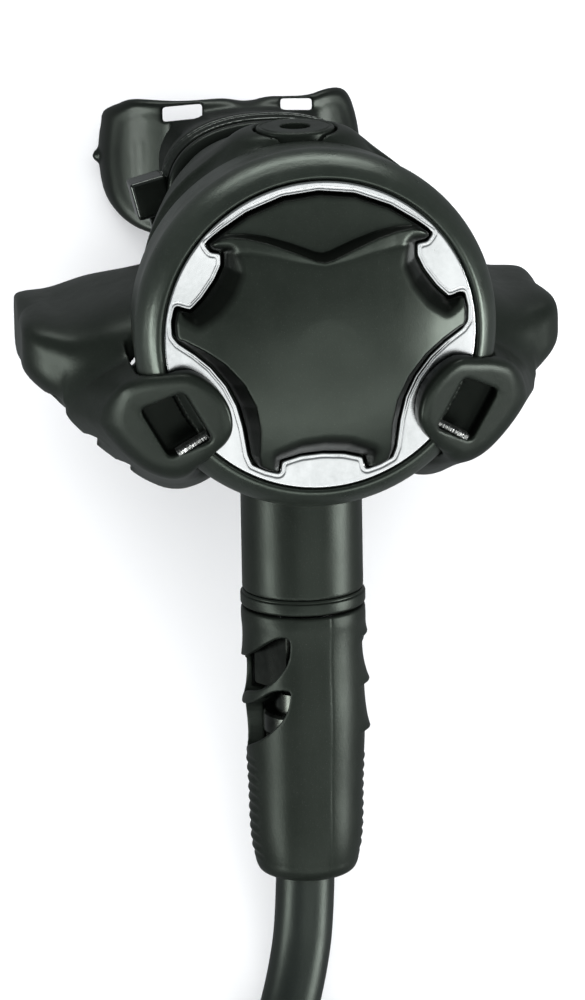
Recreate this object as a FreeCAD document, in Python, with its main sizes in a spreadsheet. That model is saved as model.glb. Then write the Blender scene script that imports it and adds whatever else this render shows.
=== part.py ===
import FreeCAD, Part
import math
import os
import Sketcher
from FreeCAD import Vector, Rotation, Placement

# Demand-valve regulator (second stage) with its low-pressure hose, millimetres.
# Working frame of the regulator: x across, u (second axis) along the valve tube
# and hose, pointing away from the hose, f (third axis) out of the front face.
# The regulator lies on its back, tilted so that the hose runs down to the table.

DIMS = [
    ("tilt", 27.0), ("seat_y", 24.45), ("seat_z", 73.18),
    # bezel
    ("ring_or", 36.25), ("ring_back", 8.0), ("ring_wide", 21.0), ("ring_front", 28.0),
    ("ring_lip", 31.25), ("ring_bore", 29.9), ("ring_seat", 25.3), ("rim_bore", 32.45),
    ("skirt_bore", 34.1), ("ledge", 18.1), ("case_front", 13.9),
    # bright plate
    ("plate_or", 31.15), ("plate_th", 2.0),
    # button
    ("flange_r", 29.4), ("flange_f", 22.9), ("flange_th", 2.0), ("dome_f", 37.4),
    ("dome_r", 58.0), ("stem_r", 5.0), ("stem_end", 15.6), ("push", 2.6),
    # guard plate, diaphragm
    ("guard_f", 16.5), ("guard_th", 1.5), ("guard_or", 32.3), ("guard_hole", 5.6),
    ("guard_a", 16.0), ("guard_b", 24.5), ("guard_ra", 3.2), ("guard_rb", 2.6),
    ("disc_r", 14.0), ("disc_f", 13.4), ("disc_th", 1.05),
    # case
    ("case_r", 33.9), ("case_back", 22.0), ("wall", 2.5), ("inlet_r", 12.25),
    ("inlet_end", 58.4), ("lip_end", 61.5), ("lip_r", 12.65), ("boss_r", 11.3), ("boss_end", 36.0),
    ("port_u", 16.0), ("port_a", 17.0), ("port_b", 10.5), ("port_end", 47.0), ("port_wall", 2.0),
    ("out_u", 13.5), ("flap_r", 10.2), ("flap_th", 1.1),
    # valve
    ("tube_r", 7.1), ("tube_low", 70.0), ("tube_top", 33.0), ("tube_bore", 6.0), ("nose_bore", 4.2),
    ("seat_end", 20.0), ("poppet_r", 5.7), ("collar_u", 14.6), ("plug_low", 24.0), ("plug_head", 7.75),
    ("pivot_u", 14.0), ("pivot_f", 8.9), ("lever_len", 18.0), ("pin_r", 0.8),
    # swivel and hose end
    ("nut_af", 17.5), ("nut_top", 62.2), ("nut_low", 78.0), ("shank_r", 4.4), ("shank_end", 84.0),
    ("hose_r", 6.0), ("crimp_r", 8.4), ("crimp_len", 20.0),
    ("boot_top", 62.0), ("boot_low", 118.5), ("boot_rt", 12.55), ("boot_rb", 10.3),
    # mouthpiece
    ("mouth_a", 20.0), ("mouth_b", 13.5), ("mouth_w", 27.0), ("mouth_h", 30.0), ("band_w", 4.0), ("band_th", 1.0),
    # hose laid on the table
    ("coil_r", 72.0), ("coil_x", 27.7), ("coil_y", -196.1), ("coil_top", 25.0),
    ("end_af", 17.0), ("end_thread", 4.7625), ("end_len", 9.5),
]
V = dict(DIMS)

doc = FreeCAD.newDocument("regulator")
sheet = doc.addObject("Spreadsheet::Sheet", "Dims")
for i, (name, value) in enumerate(DIMS):
    sheet.set("A%d" % (i + 1), name)
    sheet.set("B%d" % (i + 1), "%g" % value)
    sheet.setAlias("B%d" % (i + 1), name)
doc.recompute()

POSE = Placement(Vector(0, V["seat_y"], V["seat_z"]), Rotation(Vector(1, 0, 0), V["tilt"]))
PARTS = []


def signed(expr):
    """A sum such as '-boot_top + 0.4' as a list of (sign, word)."""
    out, sign = [], 1
    for word in expr.replace("-", " - ").replace("+", " + ").split():
        if word == "-":
            sign = -sign
        elif word != "+":
            out.append((sign, word))
            sign = 1
    return out


def term(expr):
    return sum(k * (V[w] if w in V else float(w)) for k, w in signed(expr))


def bind(expr, flip=1):
    """The same sum as an expression on the sheet; flip -1 turns its sign."""
    out = ""
    for k, w in signed(expr):
        name = "Dims." + w if w in V else w
        out += (" + " if k * flip > 0 else " - ") + name
    return "0" + out


def plane(body, role):
    return [o for o in body.Origin.OriginFeatures if o.Role == role][0]


def outline(body, role, points):
    """Closed outline with every corner dimensioned from the sheet."""
    sk = body.newObject("Sketcher::SketchObject", body.Name + "_sk")
    sk.AttachmentSupport = [(plane(body, role), "")]
    sk.MapMode = "FlatFace"
    num = [(term(a), term(b)) for a, b in points]
    n = len(num)
    for k in range(n):
        p, q = num[k], num[(k + 1) % n]
        sk.addGeometry(Part.LineSegment(Vector(p[0], p[1], 0), Vector(q[0], q[1], 0)), False)
    for k in range(n):
        sk.addConstraint(Sketcher.Constraint("Coincident", k, 2, (k + 1) % n, 1))
    for k in range(n):
        for axis, (kind, line) in enumerate((("DistanceX", -2), ("DistanceY", -1))):
            v = num[k][axis]
            if abs(v) < 1e-9:
                sk.addConstraint(Sketcher.Constraint("PointOnObject", k, 1, line))
            elif v > 0:
                c = sk.addConstraint(Sketcher.Constraint(kind, -1, 1, k, 1, v))
                sk.setExpression("Constraints[%d]" % c, bind(points[k][axis]))
            else:
                c = sk.addConstraint(Sketcher.Constraint(kind, k, 1, -1, 1, -v))
                sk.setExpression("Constraints[%d]" % c, bind(points[k][axis], -1))
    return sk


def turned(label, axis, points, place=None, keep=True):
    """Body of revolution. axis 'f': outline in (radius, f); axis 'u': in (radius, u)."""
    body = doc.addObject("PartDesign::Body", label)
    body.Label = label
    sk = outline(body, "XZ_Plane" if axis == "f" else "XY_Plane", points)
    rv = body.newObject("PartDesign::Revolution", label + "_turn")
    rv.Profile = sk
    rv.ReferenceAxis = (sk, ["V_Axis"])
    rv.Angle = 360
    body.Placement = POSE if place is None else place
    if keep:
        PARTS.append(body)
    return body


def feature(label, shape, place=None, keep=True):
    o = doc.addObject("Part::Feature", label)
    o.Label = label
    o.Shape = shape
    o.Placement = POSE if place is None else place
    if keep:
        PARTS.append(o)
    return o


def loop(points):
    c = Part.BSplineCurve()
    c.interpolate(Points=[Vector(*p) for p in points], PeriodicFlag=True)
    return Part.Wire([c.toShape()])


def oval(a, b, power, n=28):
    out = []
    for k in range(n):
        t = 2 * math.pi * k / n
        c, s = math.cos(t), math.sin(t)
        out.append((math.copysign(abs(c) ** (2 / power), c) * a, math.copysign(abs(s) ** (2 / power), s) * b))
    return out


def loft(wires):
    return Part.makeLoft(wires, True, False)


def cyl(r, low, high, axis="u", x=0.0, y=0.0, z=0.0):
    d = {"x": Vector(1, 0, 0), "u": Vector(0, 1, 0), "f": Vector(0, 0, 1)}[axis]
    return Part.makeCylinder(r, high - low, Vector(x, y, z) + d * low, d)


def box(x0, x1, u0, u1, f0, f1):
    return Part.makeBox(x1 - x0, u1 - u0, f1 - f0, Vector(x0, u0, f0))


def spun(points, axis="f"):
    """Solid turned from an outline (radius, height) given as numbers."""
    if axis == "f":
        v = [Vector(r, 0, h) for r, h in points]
        d = Vector(0, 0, 1)
    else:
        v = [Vector(r, h, 0) for r, h in points]
        d = Vector(0, 1, 0)
    return Part.Face(Part.makePolygon(v + [v[0]])).revolve(Vector(0, 0, 0), d, 360)


def single(shape):
    """Largest solid of a shape, refined."""
    s = sorted(shape.Solids, key=lambda q: q.Volume)[-1]
    try:
        r = s.removeSplitter()
        if r.isValid() and len(r.Solids) == 1:
            return r.Solids[0]
    except Exception:
        pass
    return s


# ---------------------------------------------------------------- bezel
turned("cover_ring", "f", [
    ("skirt_bore", "ring_back"), ("ring_or - 1.35", "ring_back"), ("ring_or - 1.2", "ring_back + 4"), ("ring_or - 0.9", "ring_wide - 5"), ("ring_or - 0.3", "ring_wide - 1.6"),
    ("ring_or", "ring_wide"), ("ring_or - 0.3", "ring_wide + 1.9"), ("ring_or - 1.2", "ring_wide + 3.9"),
    ("ring_or - 2.6", "ring_front - 1.1"), ("ring_lip + 1.3", "ring_front - 0.15"), ("ring_lip + 0.6", "ring_front"), ("ring_lip", "ring_front - 0.5"),
    ("ring_lip", "ring_seat"), ("ring_bore", "ring_seat"), ("ring_bore", "ledge"),
    ("rim_bore", "ledge"), ("rim_bore", "case_front + 0.05"), ("skirt_bore", "case_front + 0.05"),
])

# ---------------------------------------------------------------- button outline
# right half of the outline, from the top to the bottom; the left half mirrors it
HALF = [(0.0, 29.0), (7.0, 28.2), (14.0, 25.3), (19.0, 21.9), (22.0, 19.4), (21.2, 18.3), (18.9, 17.9),
        (18.9, 15.0), (20.3, 12.0), (22.6, 8.9), (25.1, 6.4), (28.4, 7.0), (28.9, 4.2), (28.8, 1.6), (27.9, 0.3),
        (24.6, -2.1), (21.4, -5.0), (18.4, -8.9), (16.3, -13.2), (15.1, -17.9), (14.3, -23.2), (13.6, -25.0),
        (11.2, -26.2), (8.9, -26.9), (8.6, -24.7), (4.4, -23.6), (0.0, -23.3)]


def half_loop(grow, f):
    right = []
    n = len(HALF)
    for k, (x, u) in enumerate(HALF):
        a = HALF[max(k - 1, 0)]
        b = HALF[min(k + 1, n - 1)]
        tx, tu = b[0] - a[0], b[1] - a[1]
        if k in (0, n - 1):
            tx, tu = (1.0 if k == 0 else -1.0), 0.0
        m = math.hypot(tx, tu)
        right.append((x - tu / m * grow, u + tx / m * grow))
    left = [(-x, u) for x, u in reversed(right[1:-1])]
    pts = [Vector(x, u, f) for x, u in right + left]
    return Part.makePolygon(pts + [pts[0]])


def prism(grow, f0, f1):
    return Part.Face(half_loop(grow, f0)).extrude(Vector(0, 0, f1 - f0))


plate_blank = doc.addObject("Part::Cylinder", "plate_blank")
plate_blank.setExpression("Radius", "Dims.plate_or")
plate_blank.setExpression("Height", "Dims.plate_th")
plate_blank.setExpression("Placement.Base.z", "Dims.ring_seat")
plate_tool = feature("plate_opening", prism(0.4, V["ring_seat"] - 1, V["ring_seat"] + V["plate_th"] + 1), Placement(), keep=False)
plate = doc.addObject("Part::Cut", "trim_plate")
plate.Label = "trim_plate"
plate.Base = plate_blank
plate.Tool = plate_tool
plate.Placement = POSE
PARTS.append(plate)

# raised button: outline prism under a dome, on a retaining flange with a push stem
dome = Part.makeSphere(V["dome_r"], Vector(0, 0, V["dome_f"] - V["dome_r"]))
raised = prism(0.0, V["flange_f"] + 1, V["dome_f"] + 5).common(dome)
scoop = Part.makeCylinder(23.2, 80, Vector(-40, 33.5, V["dome_f"] + 14.6), Vector(1, 0, 0))
raised = raised.cut(scoop)
button = raised.fuse(cyl(V["flange_r"], V["flange_f"], V["flange_f"] + V["flange_th"], "f"))
button = button.fuse(cyl(V["stem_r"], V["stem_end"], V["flange_f"] + 1, "f"))
feature("purge_button", single(button))

# ---------------------------------------------------------------- springs
def coil_spring(radius, wire, low, high, turns, axis):
    z = wire + 0.05
    helix = Part.makeHelix((high - low - 2 * z) / turns, high - low - 2 * z, radius)
    prof = Part.Wire([Part.makeCircle(wire, Vector(radius, 0, 0), Vector(0, 1, 0))])
    s = Part.Wire(helix.Edges).makePipeShell([prof], True, True)
    if axis == "f":
        at = Placement(Vector(0, 0, low + z), Rotation())
    else:
        at = Placement(Vector(0, low + z, 0), Rotation(Vector(1, 0, 0), -90))
    return s, POSE.multiply(at)


feature("button_spring", *coil_spring(9.0, 0.45, V["guard_f"] + V["guard_th"], V["flange_f"], 3, "f"))
feature("poppet_spring", *coil_spring(4.1, 0.5, V["collar_u"] + 2.0, V["plug_low"], 4, "u"))

# ---------------------------------------------------------------- guard plate, diaphragm
guard = doc.addObject("PartDesign::Body", "guard_plate")
guard.Label = "guard_plate"
g_sk = outline(guard, "XZ_Plane", [("guard_hole", "guard_f"), ("guard_or", "guard_f"), ("guard_or", "guard_f + guard_th"), ("guard_hole", "guard_f + guard_th")])
g_rv = guard.newObject("PartDesign::Revolution", "guard_turn")
g_rv.Profile = g_sk
g_rv.ReferenceAxis = (g_sk, ["V_Axis"])
g_rv.Angle = 360
doc.recompute()
g_last = g_rv
for tag, at, rad, count in (("a", "guard_a", "guard_ra", 8), ("b", "guard_b", "guard_rb", 14)):
    h_sk = guard.newObject("Sketcher::SketchObject", "guard_hole_" + tag)
    h_sk.AttachmentSupport = [(plane(guard, "XY_Plane"), "")]
    h_sk.MapMode = "FlatFace"
    h_sk.addGeometry(Part.Circle(Vector(V[at], 0, 0), Vector(0, 0, 1), V[rad]), False)
    h_sk.addConstraint(Sketcher.Constraint("PointOnObject", 0, 3, -1))
    c1 = h_sk.addConstraint(Sketcher.Constraint("DistanceX", -1, 1, 0, 3, V[at]))
    c2 = h_sk.addConstraint(Sketcher.Constraint("Radius", 0, V[rad]))
    h_sk.setExpression("Constraints[%d]" % c1, "Dims." + at)
    h_sk.setExpression("Constraints[%d]" % c2, "Dims." + rad)
    pk = guard.newObject("PartDesign::Pocket", "guard_cut_" + tag)
    pk.Profile = h_sk
    pk.Type = "Length"
    pk.Length = V["guard_f"] + V["guard_th"] + 2
    pk.Reversed = True
    doc.recompute()
    pat = guard.newObject("PartDesign::PolarPattern", "guard_ring_" + tag)
    pat.Originals = [pk]
    pat.Axis = (h_sk, ["N_Axis"])
    pat.Angle = 360
    pat.Occurrences = count
    guard.Tip = pat
    doc.recompute()
guard.Placement = POSE
PARTS.append(guard)

turned("diaphragm", "f", [
    ("0", "14.5"), ("15.4", "14.5"), ("17.8", "13.2"), ("22", "13"), ("26.4", "13.2"), ("29.1", "14.5"), ("29.9", "case_front + 0.1"),
    ("guard_or", "case_front + 0.1"), ("guard_or", "guard_f - 0.05"), ("29.6", "guard_f - 0.05"), ("28", "15.9"), ("25.6", "14.1"), ("22", "13.9"), ("18.6", "14.1"), ("16", "15.3"), ("0", "15.3"),
])
turned("diaphragm_disc", "f", [("0", "disc_f"), ("disc_r - 0.6", "disc_f"), ("disc_r", "disc_f + 0.5"), ("disc_r", "disc_f + disc_th"), ("0", "disc_f + disc_th")])

# ---------------------------------------------------------------- case
def case_profile(r, back, round_r, front):
    pts = [(0.0, -back)]
    for k in range(0, 10):
        a = math.radians(90.0 * k / 9)
        pts.append((r - round_r + round_r * math.sin(a), -back + round_r - round_r * math.cos(a)))
    return pts + [(r, front), (0.0, front)]


def bowl(grow, front):
    """Turned bowl with a smoothly rounded back."""
    r, back, rr = V["case_r"] + grow, V["case_back"] + grow, 17.0
    a = Vector(0, 0, -back)
    b = Vector(r - rr, 0, -back)
    mid = Vector(r - rr + rr * math.sin(math.pi / 4), 0, -back + rr - rr * math.cos(math.pi / 4))
    c = Vector(r, 0, -back + rr)
    d = Vector(r, 0, front)
    e = Vector(0, 0, front)
    w = Part.Wire([Part.makeLine(a, b), Part.Arc(b, mid, c).toShape(), Part.makeLine(c, d), Part.makeLine(d, e), Part.makeLine(e, a)])
    return Part.Face(w).revolve(Vector(0, 0, 0), Vector(0, 0, 1), 360)


def hump(grow):
    """Rounded rise of the case up to the flat boss at the valve's end."""
    secs = []
    for u, a, f0, f1 in ((8.0, 28.0, -20.0, 11.0), (20.0, 24.0, -20.0, 10.5), (28.0, 18.0, -17.5, 9.0), (33.0, 13.6, -13.0, 8.0), (36.0, 11.2, -9.8, 7.6)):
        fc, b = (f0 + f1) / 2, (f1 - f0) / 2
        secs.append(loop([(p * (a + grow) / a, u, fc + q * (b + grow) / b) for p, q in oval(a, b, 2.2, 24)]))
    return loft(secs)


NECK = [(-2.0, 8.0, 31.5, 25.0), (-12.0, 10.5, 28.5, 22.5), (-20.0, 13.6, 24.5, 18.0), (-27.0, 15.6, 21.0, 14.6), (-33.2, 16.0, 19.0, 12.6)]


def neck(inset):
    """The bowl narrows backwards to the mouthpiece port: (f, centre u, half width, half height)."""
    secs = [loop([(p, uc + q, f) for p, q in oval(a - inset, b - inset, 2.25)]) for f, uc, a, b in NECK]
    return loft(secs)


def port_tube(a, b, f0, f1):
    return Part.Face(loop([(p, V["port_u"] + q, f0) for p, q in oval(a, b, 2.3)])).extrude(Vector(0, 0, f1 - f0))


ring_gap = spun([(V["skirt_bore"] - 0.15, V["ring_back"] - 0.1), (36.6, V["ring_back"] - 0.1), (36.6, 45.0), (V["skirt_bore"] - 0.15, 45.0)])
shell = bowl(0.0, V["case_front"]).fuse(hump(0.0)).fuse(cyl(V["inlet_r"], -V["inlet_end"], 0))
shell = shell.fuse(port_tube(V["port_a"], V["port_b"], -V["port_end"], -30.0)).fuse(neck(0.0))
shell = shell.cut(ring_gap)
shell = shell.cut(spun([(0, V["case_front"]), (60, V["case_front"]), (60, 50), (0, 50)]))
shell = shell.cut(bowl(-V["wall"], V["case_front"] + 1))
shell = shell.cut(neck(2.3)).cut(port_tube(V["port_a"] - V["port_wall"], V["port_b"] - V["port_wall"], -V["port_end"] - 1, -28.0))
shell = shell.cut(cyl(V["tube_r"] + 0.05, -90, V["boss_end"] + 5))
shell = shell.cut(cyl(V["plug_head"] + 0.15, V["tube_top"], V["boss_end"] + 5))
for k in range(6):
    a = math.radians(60 * k + 30)
    shell = shell.cut(cyl(2.3, -V["case_back"] - 2, -V["case_back"] + V["wall"] + 2, "f", 6.2 * math.cos(a), -V["out_u"] + 6.2 * math.sin(a)))
shell = shell.cut(cyl(1.6, -V["case_back"] - 2, -V["case_back"] + V["wall"] + 2, "f", 0, -V["out_u"]))
feature("case_shell", single(shell))

turned("inlet_lip", "u", [
    ("tube_r + 0.1", "-inlet_end - 0.02"), ("lip_r - 0.5", "-inlet_end - 0.02"), ("lip_r", "-inlet_end - 0.5"),
    ("lip_r", "-lip_end + 0.5"), ("lip_r - 0.5", "-lip_end"), ("tube_r + 0.1", "-lip_end"),
])

# exhaust flap: mushroom disc outside the back wall, on a stem with a bulb
flap_at = POSE.multiply(Placement(Vector(0, -V["out_u"], -V["case_back"]), Rotation()))
turned("exhaust_flap", "f", [
    ("0", "-0.05 - flap_th"), ("2.4", "-0.05 - flap_th"), ("flap_r", "-0.55"), ("flap_r", "-0.05"), ("1.5", "-0.05"), ("1.5", "2.6"), ("2.3", "2.6"), ("1.9", "4"), ("0", "4.8"),
], flap_at)

# ---------------------------------------------------------------- exhaust deflector
def wing_section(x, u0, u1, f0, f1, inset, power=2.9):
    uc, a = (u0 + u1) / 2, (u1 - u0) / 2 - inset
    fc, b = (f0 + f1) / 2, (f1 - f0) / 2 - inset
    return loop([(x, uc + p, fc + q) for p, q in oval(a, b, power, 24)])


WING = [(22.0, -33.5, 6.5, -34.0, 8.0), (30.0, -31.5, 5.6, -39.5, 8.5), (38.0, -27.0, 2.0, -46.0, 7.0),
        (46.0, -21.0, -1.6, -51.0, 2.5), (50.6, -17.0, -3.4, -50.0, -4.0), (54.0, -13.6, -6.0, -36.0, -10.0)]
outer = loft([wing_section(*w, inset=0.0) for w in WING])
INNER = [(24.5, -33.0, 6.3, -35.0, 8.0)] + WING[1:4] + [(49.8, -17.6, -3.2, -51.0, -2.5), (51.8, -15.0, -5.4, -46.0, -8.0)]
inner = loft([wing_section(*w, inset=2.0) for k, w in enumerate(INNER)])
# outlet of each wing: a long window through the back wall, down to the underside
outlet = Part.makeBox(21.0, 12.0, 30.0, Vector(28.0, -20.0, -62.0))
outlet = outlet.fuse(Part.makeBox(16.0, 30.0, 20.0, Vector(33.0, -42.0, -38.0)))

DIR = (0.872, -0.489)
LUG = [(38.4, -10.6), (35.2, -7.4), (30.6, -5.9), (26.5, -5.2), (22.6, -7.4), (19.5, -11.3), (18.4, -15.9), (19.3, -19.5),
       (21.6, -22.3), (24.6, -24.8), (28.6, -26.2), (33.2, -24.6), (37.4, -19.4), (39.2, -14.6)]
LUG_LOW = [(46.0, -10.5), (40.6, -5.6), (33.0, -4.2), (26.5, -4.2), (22.0, -7.0), (19.0, -11.3), (18.0, -15.9), (18.8, -19.5),
           (20.4, -26.0), (22.6, -33.4), (28.8, -36.6), (37.4, -31.6), (43.6, -23.0), (46.6, -16.0)]
lug = Part.makeLoft([loop([(x, u, 2.0) for x, u in LUG_LOW]), loop([(x, u, 27.0) for x, u in LUG])], True, True)
lug = lug.fuse(Part.Face(loop([(x, u, 27.0) for x, u in LUG])).extrude(Vector(0, 0, 18.0)))
slope = math.degrees(math.atan(0.62))
cap = Part.makeBox(120, 120, 60, Vector(-60, -60, 0))
cap.Placement = Placement(Vector(24.0 * DIR[0], 24.0 * DIR[1], 34.6), Rotation(Vector(-DIR[1], DIR[0], 0), slope))
lug = lug.cut(cap)
well = Part.makeBox(9.2, 11.6, 40, Vector(-4.6, -5.8, 0))
well.Placement = Placement(Vector(29.0, -16.3, 19.0), Rotation(Vector(0, 0, 1), math.degrees(math.atan2(DIR[1], DIR[0]))))
lug = lug.cut(well)

duct = Part.Face(loop([(p, -15.5 + q, -34.0) for p, q in oval(27.0, 15.0, 4.0)])).extrude(Vector(0, 0, 18.0))
duct_in = Part.Face(loop([(p, -15.5 + q, -31.8) for p, q in oval(28.5, 12.8, 4.0)])).extrude(Vector(0, 0, 12.0))


def mirror_x(s):
    return s.mirror(Vector(0, 0, 0), Vector(1, 0, 0))


ring_env = spun([(0, -10), (36.4, -10), (36.4, 21.3), (35.9, 24.0), (34.2, 27.1), (32.6, 28.15), (0, 28.15)])
keep_off = bowl(0.1, 14.0).fuse(cyl(V["inlet_r"] + 0.1, -70, 0)).fuse(hump(0.15))
keep_off = keep_off.fuse(neck(-0.15)).fuse(port_tube(V["port_a"] + 2.5, V["port_b"] + 2.5, -60, -30))
tee = outer.fuse(mirror_x(outer)).fuse(duct)
tee = tee.cut(inner).cut(mirror_x(inner)).cut(duct_in).cut(outlet).cut(mirror_x(outlet))
lugs = lug.cut(ring_env)
tee = tee.cut(keep_off).cut(spun([(0, 7.8), (36.4, 7.8), (36.4, 50), (0, 50)]))
tee = tee.fuse(lugs).fuse(mirror_x(lugs))
# the lugs keep clear of the bowl below the bezel
tee = tee.cut(bowl(0.1, 14.0))
TEE_SOLIDS = sorted([s.Volume for s in tee.Solids])[-4:]
feature("exhaust_tee", single(tee))

# small bright strips low in the pockets of the lugs
def strip(sx):
    s = Part.makeBox(7.0, 1.3, 2.0, Vector(-4.4, -5.75, 0))
    s.Placement = Placement(Vector(29.0, -16.3, 28.3), Rotation(Vector(0, 0, 1), math.degrees(math.atan2(DIR[1], DIR[0]))))
    return s if sx > 0 else mirror_x(s)


feature("lug_insert", Part.makeCompound([strip(1), strip(-1)]))

# ---------------------------------------------------------------- valve
tube = spun([(V["nose_bore"], -V["tube_low"]), (V["tube_r"], -V["tube_low"]), (V["tube_r"], V["tube_top"]), (V["tube_bore"], V["tube_top"]),
             (V["tube_bore"], -58.0), (V["nose_bore"], -58.0)], "u")
ears = box(-6.6, 6.6, V["pivot_u"] - 3, V["pivot_u"] + 3, 3.0, V["pivot_f"] + 1.5).cut(box(-5.1, 5.1, V["pivot_u"] - 5, V["pivot_u"] + 5, 2.0, 14.0))
ears = ears.cut(cyl(V["tube_bore"], -20, 32))
tube = tube.fuse(ears)
tube = tube.cut(box(-2.2, 2.2, V["pivot_u"] - 3.4, V["pivot_u"] + 1.8, 3.0, 9.0))
tube = tube.cut(cyl(V["pin_r"] + 0.02, -9, 9, "x", 0, V["pivot_u"], V["pivot_f"]))
tube = tube.cut(cyl(2.6, -9, 0, "f", 0, 6.0))
feature("valve_tube", single(tube))

pin = doc.addObject("Part::Cylinder", "lever_pin")
pin.Label = "lever_pin"
pin.setExpression("Radius", "Dims.pin_r")
pin.Height = 13.6
pin.Placement = POSE.multiply(Placement(Vector(-6.8, V["pivot_u"], V["pivot_f"]), Rotation(Vector(0, 1, 0), 90)))
PARTS.append(pin)

# lever: hub on the pin, arm to the middle of the diaphragm disc, leg down to the poppet's collar
pu, pf = V["pivot_u"], V["pivot_f"]
tip = V["disc_f"] - 0.35
arm = [(pu + 0.2, pf + 0.4), (pu + 0.2, pf + 1.5), (pu - 2.6, pf + 1.85), (pu - V["lever_len"] + 1.0, tip), (pu - V["lever_len"] - 1.0, tip),
       (pu - V["lever_len"] - 1.0, tip - 0.9), (pu - V["lever_len"] + 0.8, tip - 0.95), (pu - 2.6, pf + 0.9)]
v = [Vector(-4.2, a, b) for a, b in arm]
lever = Part.Face(Part.makePolygon(v + [v[0]])).extrude(Vector(8.4, 0, 0))
lever = lever.fuse(cyl(1.55, -4.8, 4.8, "x", 0, pu, pf))
lever = lever.fuse(box(-1.7, 1.7, pu - 0.55, pu + 0.45, 3.1, pf))
lever = lever.cut(cyl(V["pin_r"] + 0.05, -9, 9, "x", 0, pu, pf))
feature("demand_lever", single(lever))

turned("valve_seat", "u", [
    ("1.9", "-58 + 0.05"), ("tube_bore - 0.05", "-58 + 0.05"), ("tube_bore - 0.05", "-seat_end - 4"), ("4.6", "-seat_end - 1.6"),
    ("2.7", "-seat_end - 1.6"), ("2.5", "-seat_end"), ("1.9", "-seat_end"),
])
turned("poppet_pad", "u", [("0", "-seat_end + 0.03"), ("4", "-seat_end + 0.03"), ("4", "-seat_end + 1.5"), ("0", "-seat_end + 1.5")])
turned("poppet", "u", [
    ("0", "-seat_end + 1.52"), ("4.05", "-seat_end + 1.52"), ("4.05", "-seat_end + 0.6"), ("5.2", "-seat_end + 0.6"), ("poppet_r", "-seat_end + 1.4"), ("poppet_r", "-6"),
    ("2.2", "-4.5"), ("2.2", "collar_u"), ("5", "collar_u"), ("5", "collar_u + 1.9"), ("2.2", "collar_u + 1.9"), ("2.2", "collar_u + 4.5"), ("0", "collar_u + 4.5"),
])
plug = spun([(2.6, V["plug_low"]), (V["tube_bore"] - 0.05, V["plug_low"]), (V["tube_bore"] - 0.05, 30.2), (5.0, 30.2), (5.0, 31.8), (V["tube_bore"] - 0.05, 31.8),
             (V["tube_bore"] - 0.05, V["tube_top"] + 0.03), (V["plug_head"], V["tube_top"] + 0.03), (V["plug_head"], V["boss_end"] - 0.1), (V["plug_head"] - 0.7, V["boss_end"] + 0.3),
             (0.0, V["boss_end"] + 0.3), (0.0, 29.0), (2.6, 29.0)], "u")
plug = plug.cut(cyl(3.0, V["boss_end"] - 1.6, V["boss_end"] + 2))
feature("top_plug", single(plug))


def o_ring(label, major, minor, place):
    o = doc.addObject("Part::Torus", label)
    o.Label = label
    o.Radius1 = major
    o.Radius2 = minor
    o.Placement = place
    PARTS.append(o)
    return o


U_UP = Rotation(Vector(1, 0, 0), -90)
o_ring("plug_seal", 5.52, 0.42, POSE.multiply(Placement(Vector(0, 31.0, 0), U_UP)))

# ---------------------------------------------------------------- swivel end of the hose
nut_prism = doc.addObject("Part::Prism", "nut_blank")
nut_prism.Polygon = 6
nut_prism.setExpression("Circumradius", "Dims.nut_af / 2 / cos(30)")
nut_prism.setExpression("Height", "Dims.nut_low - Dims.nut_top")
nut_prism.Placement = Placement(Vector(0, -V["nut_low"], 0), U_UP)
nut_form = feature("nut_form", spun([(0, -V["nut_low"] - 1), (9.3, -V["nut_low"] - 1), (10.6, -V["nut_low"] + 1.2), (10.6, -V["nut_top"] - 4.5), (9.2, -V["nut_top"] - 3.2), (9.2, -V["nut_top"] + 1), (0, -V["nut_top"] + 1)], "u"), Placement(), keep=False)
nut_bore = feature("nut_bore", spun([(0, -V["nut_low"] - 2), (V["shank_r"] + 0.1, -V["nut_low"] - 2), (V["shank_r"] + 0.1, -72.5), (V["tube_r"] + 0.05, -72.5), (V["tube_r"] + 0.05, -V["nut_top"] + 2), (0, -V["nut_top"] + 2)], "u"), Placement(), keep=False)
nut_c = doc.addObject("Part::Common", "nut_common")
nut_c.Base = nut_prism
nut_c.Tool = nut_form
nut = doc.addObject("Part::Cut", "hose_nut")
nut.Label = "hose_nut"
nut.Base = nut_c
nut.Tool = nut_bore
nut.Placement = POSE
PARTS.append(nut)

turned("swivel_stem", "u", [
    ("1.9", "-64.2"), ("3.5", "-64.2"), ("3.9", "-64.7"), ("3.9", "-66.2"), ("2.75", "-66.2"), ("2.75", "-68.0"), ("3.9", "-68.0"), ("3.9", "-tube_low - 0.2"),
    ("6.6", "-tube_low - 0.2"), ("6.6", "-72.3"), ("shank_r", "-72.3"), ("shank_r", "-80.0"), ("6.2", "-80.0"), ("6.2", "-shank_end + 0.02"), ("1.9", "-shank_end + 0.02"),
])
o_ring("swivel_seal", 3.42, 0.64, POSE.multiply(Placement(Vector(0, -67.1, 0), U_UP)))

turned("crimp_sleeve", "u", [
    ("hose_r + 0.03", "-shank_end - 0.02"), ("crimp_r - 0.4", "-shank_end - 0.02"), ("crimp_r", "-shank_end - 0.6"), ("crimp_r", "-shank_end - 4"), ("crimp_r - 0.5", "-shank_end - 5"),
    ("crimp_r - 0.5", "-shank_end - 15"), ("crimp_r", "-shank_end - 16"), ("crimp_r", "-shank_end - crimp_len + 0.6"), ("crimp_r - 0.5", "-shank_end - crimp_len"), ("hose_r + 0.03", "-shank_end - crimp_len"),
])

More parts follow.
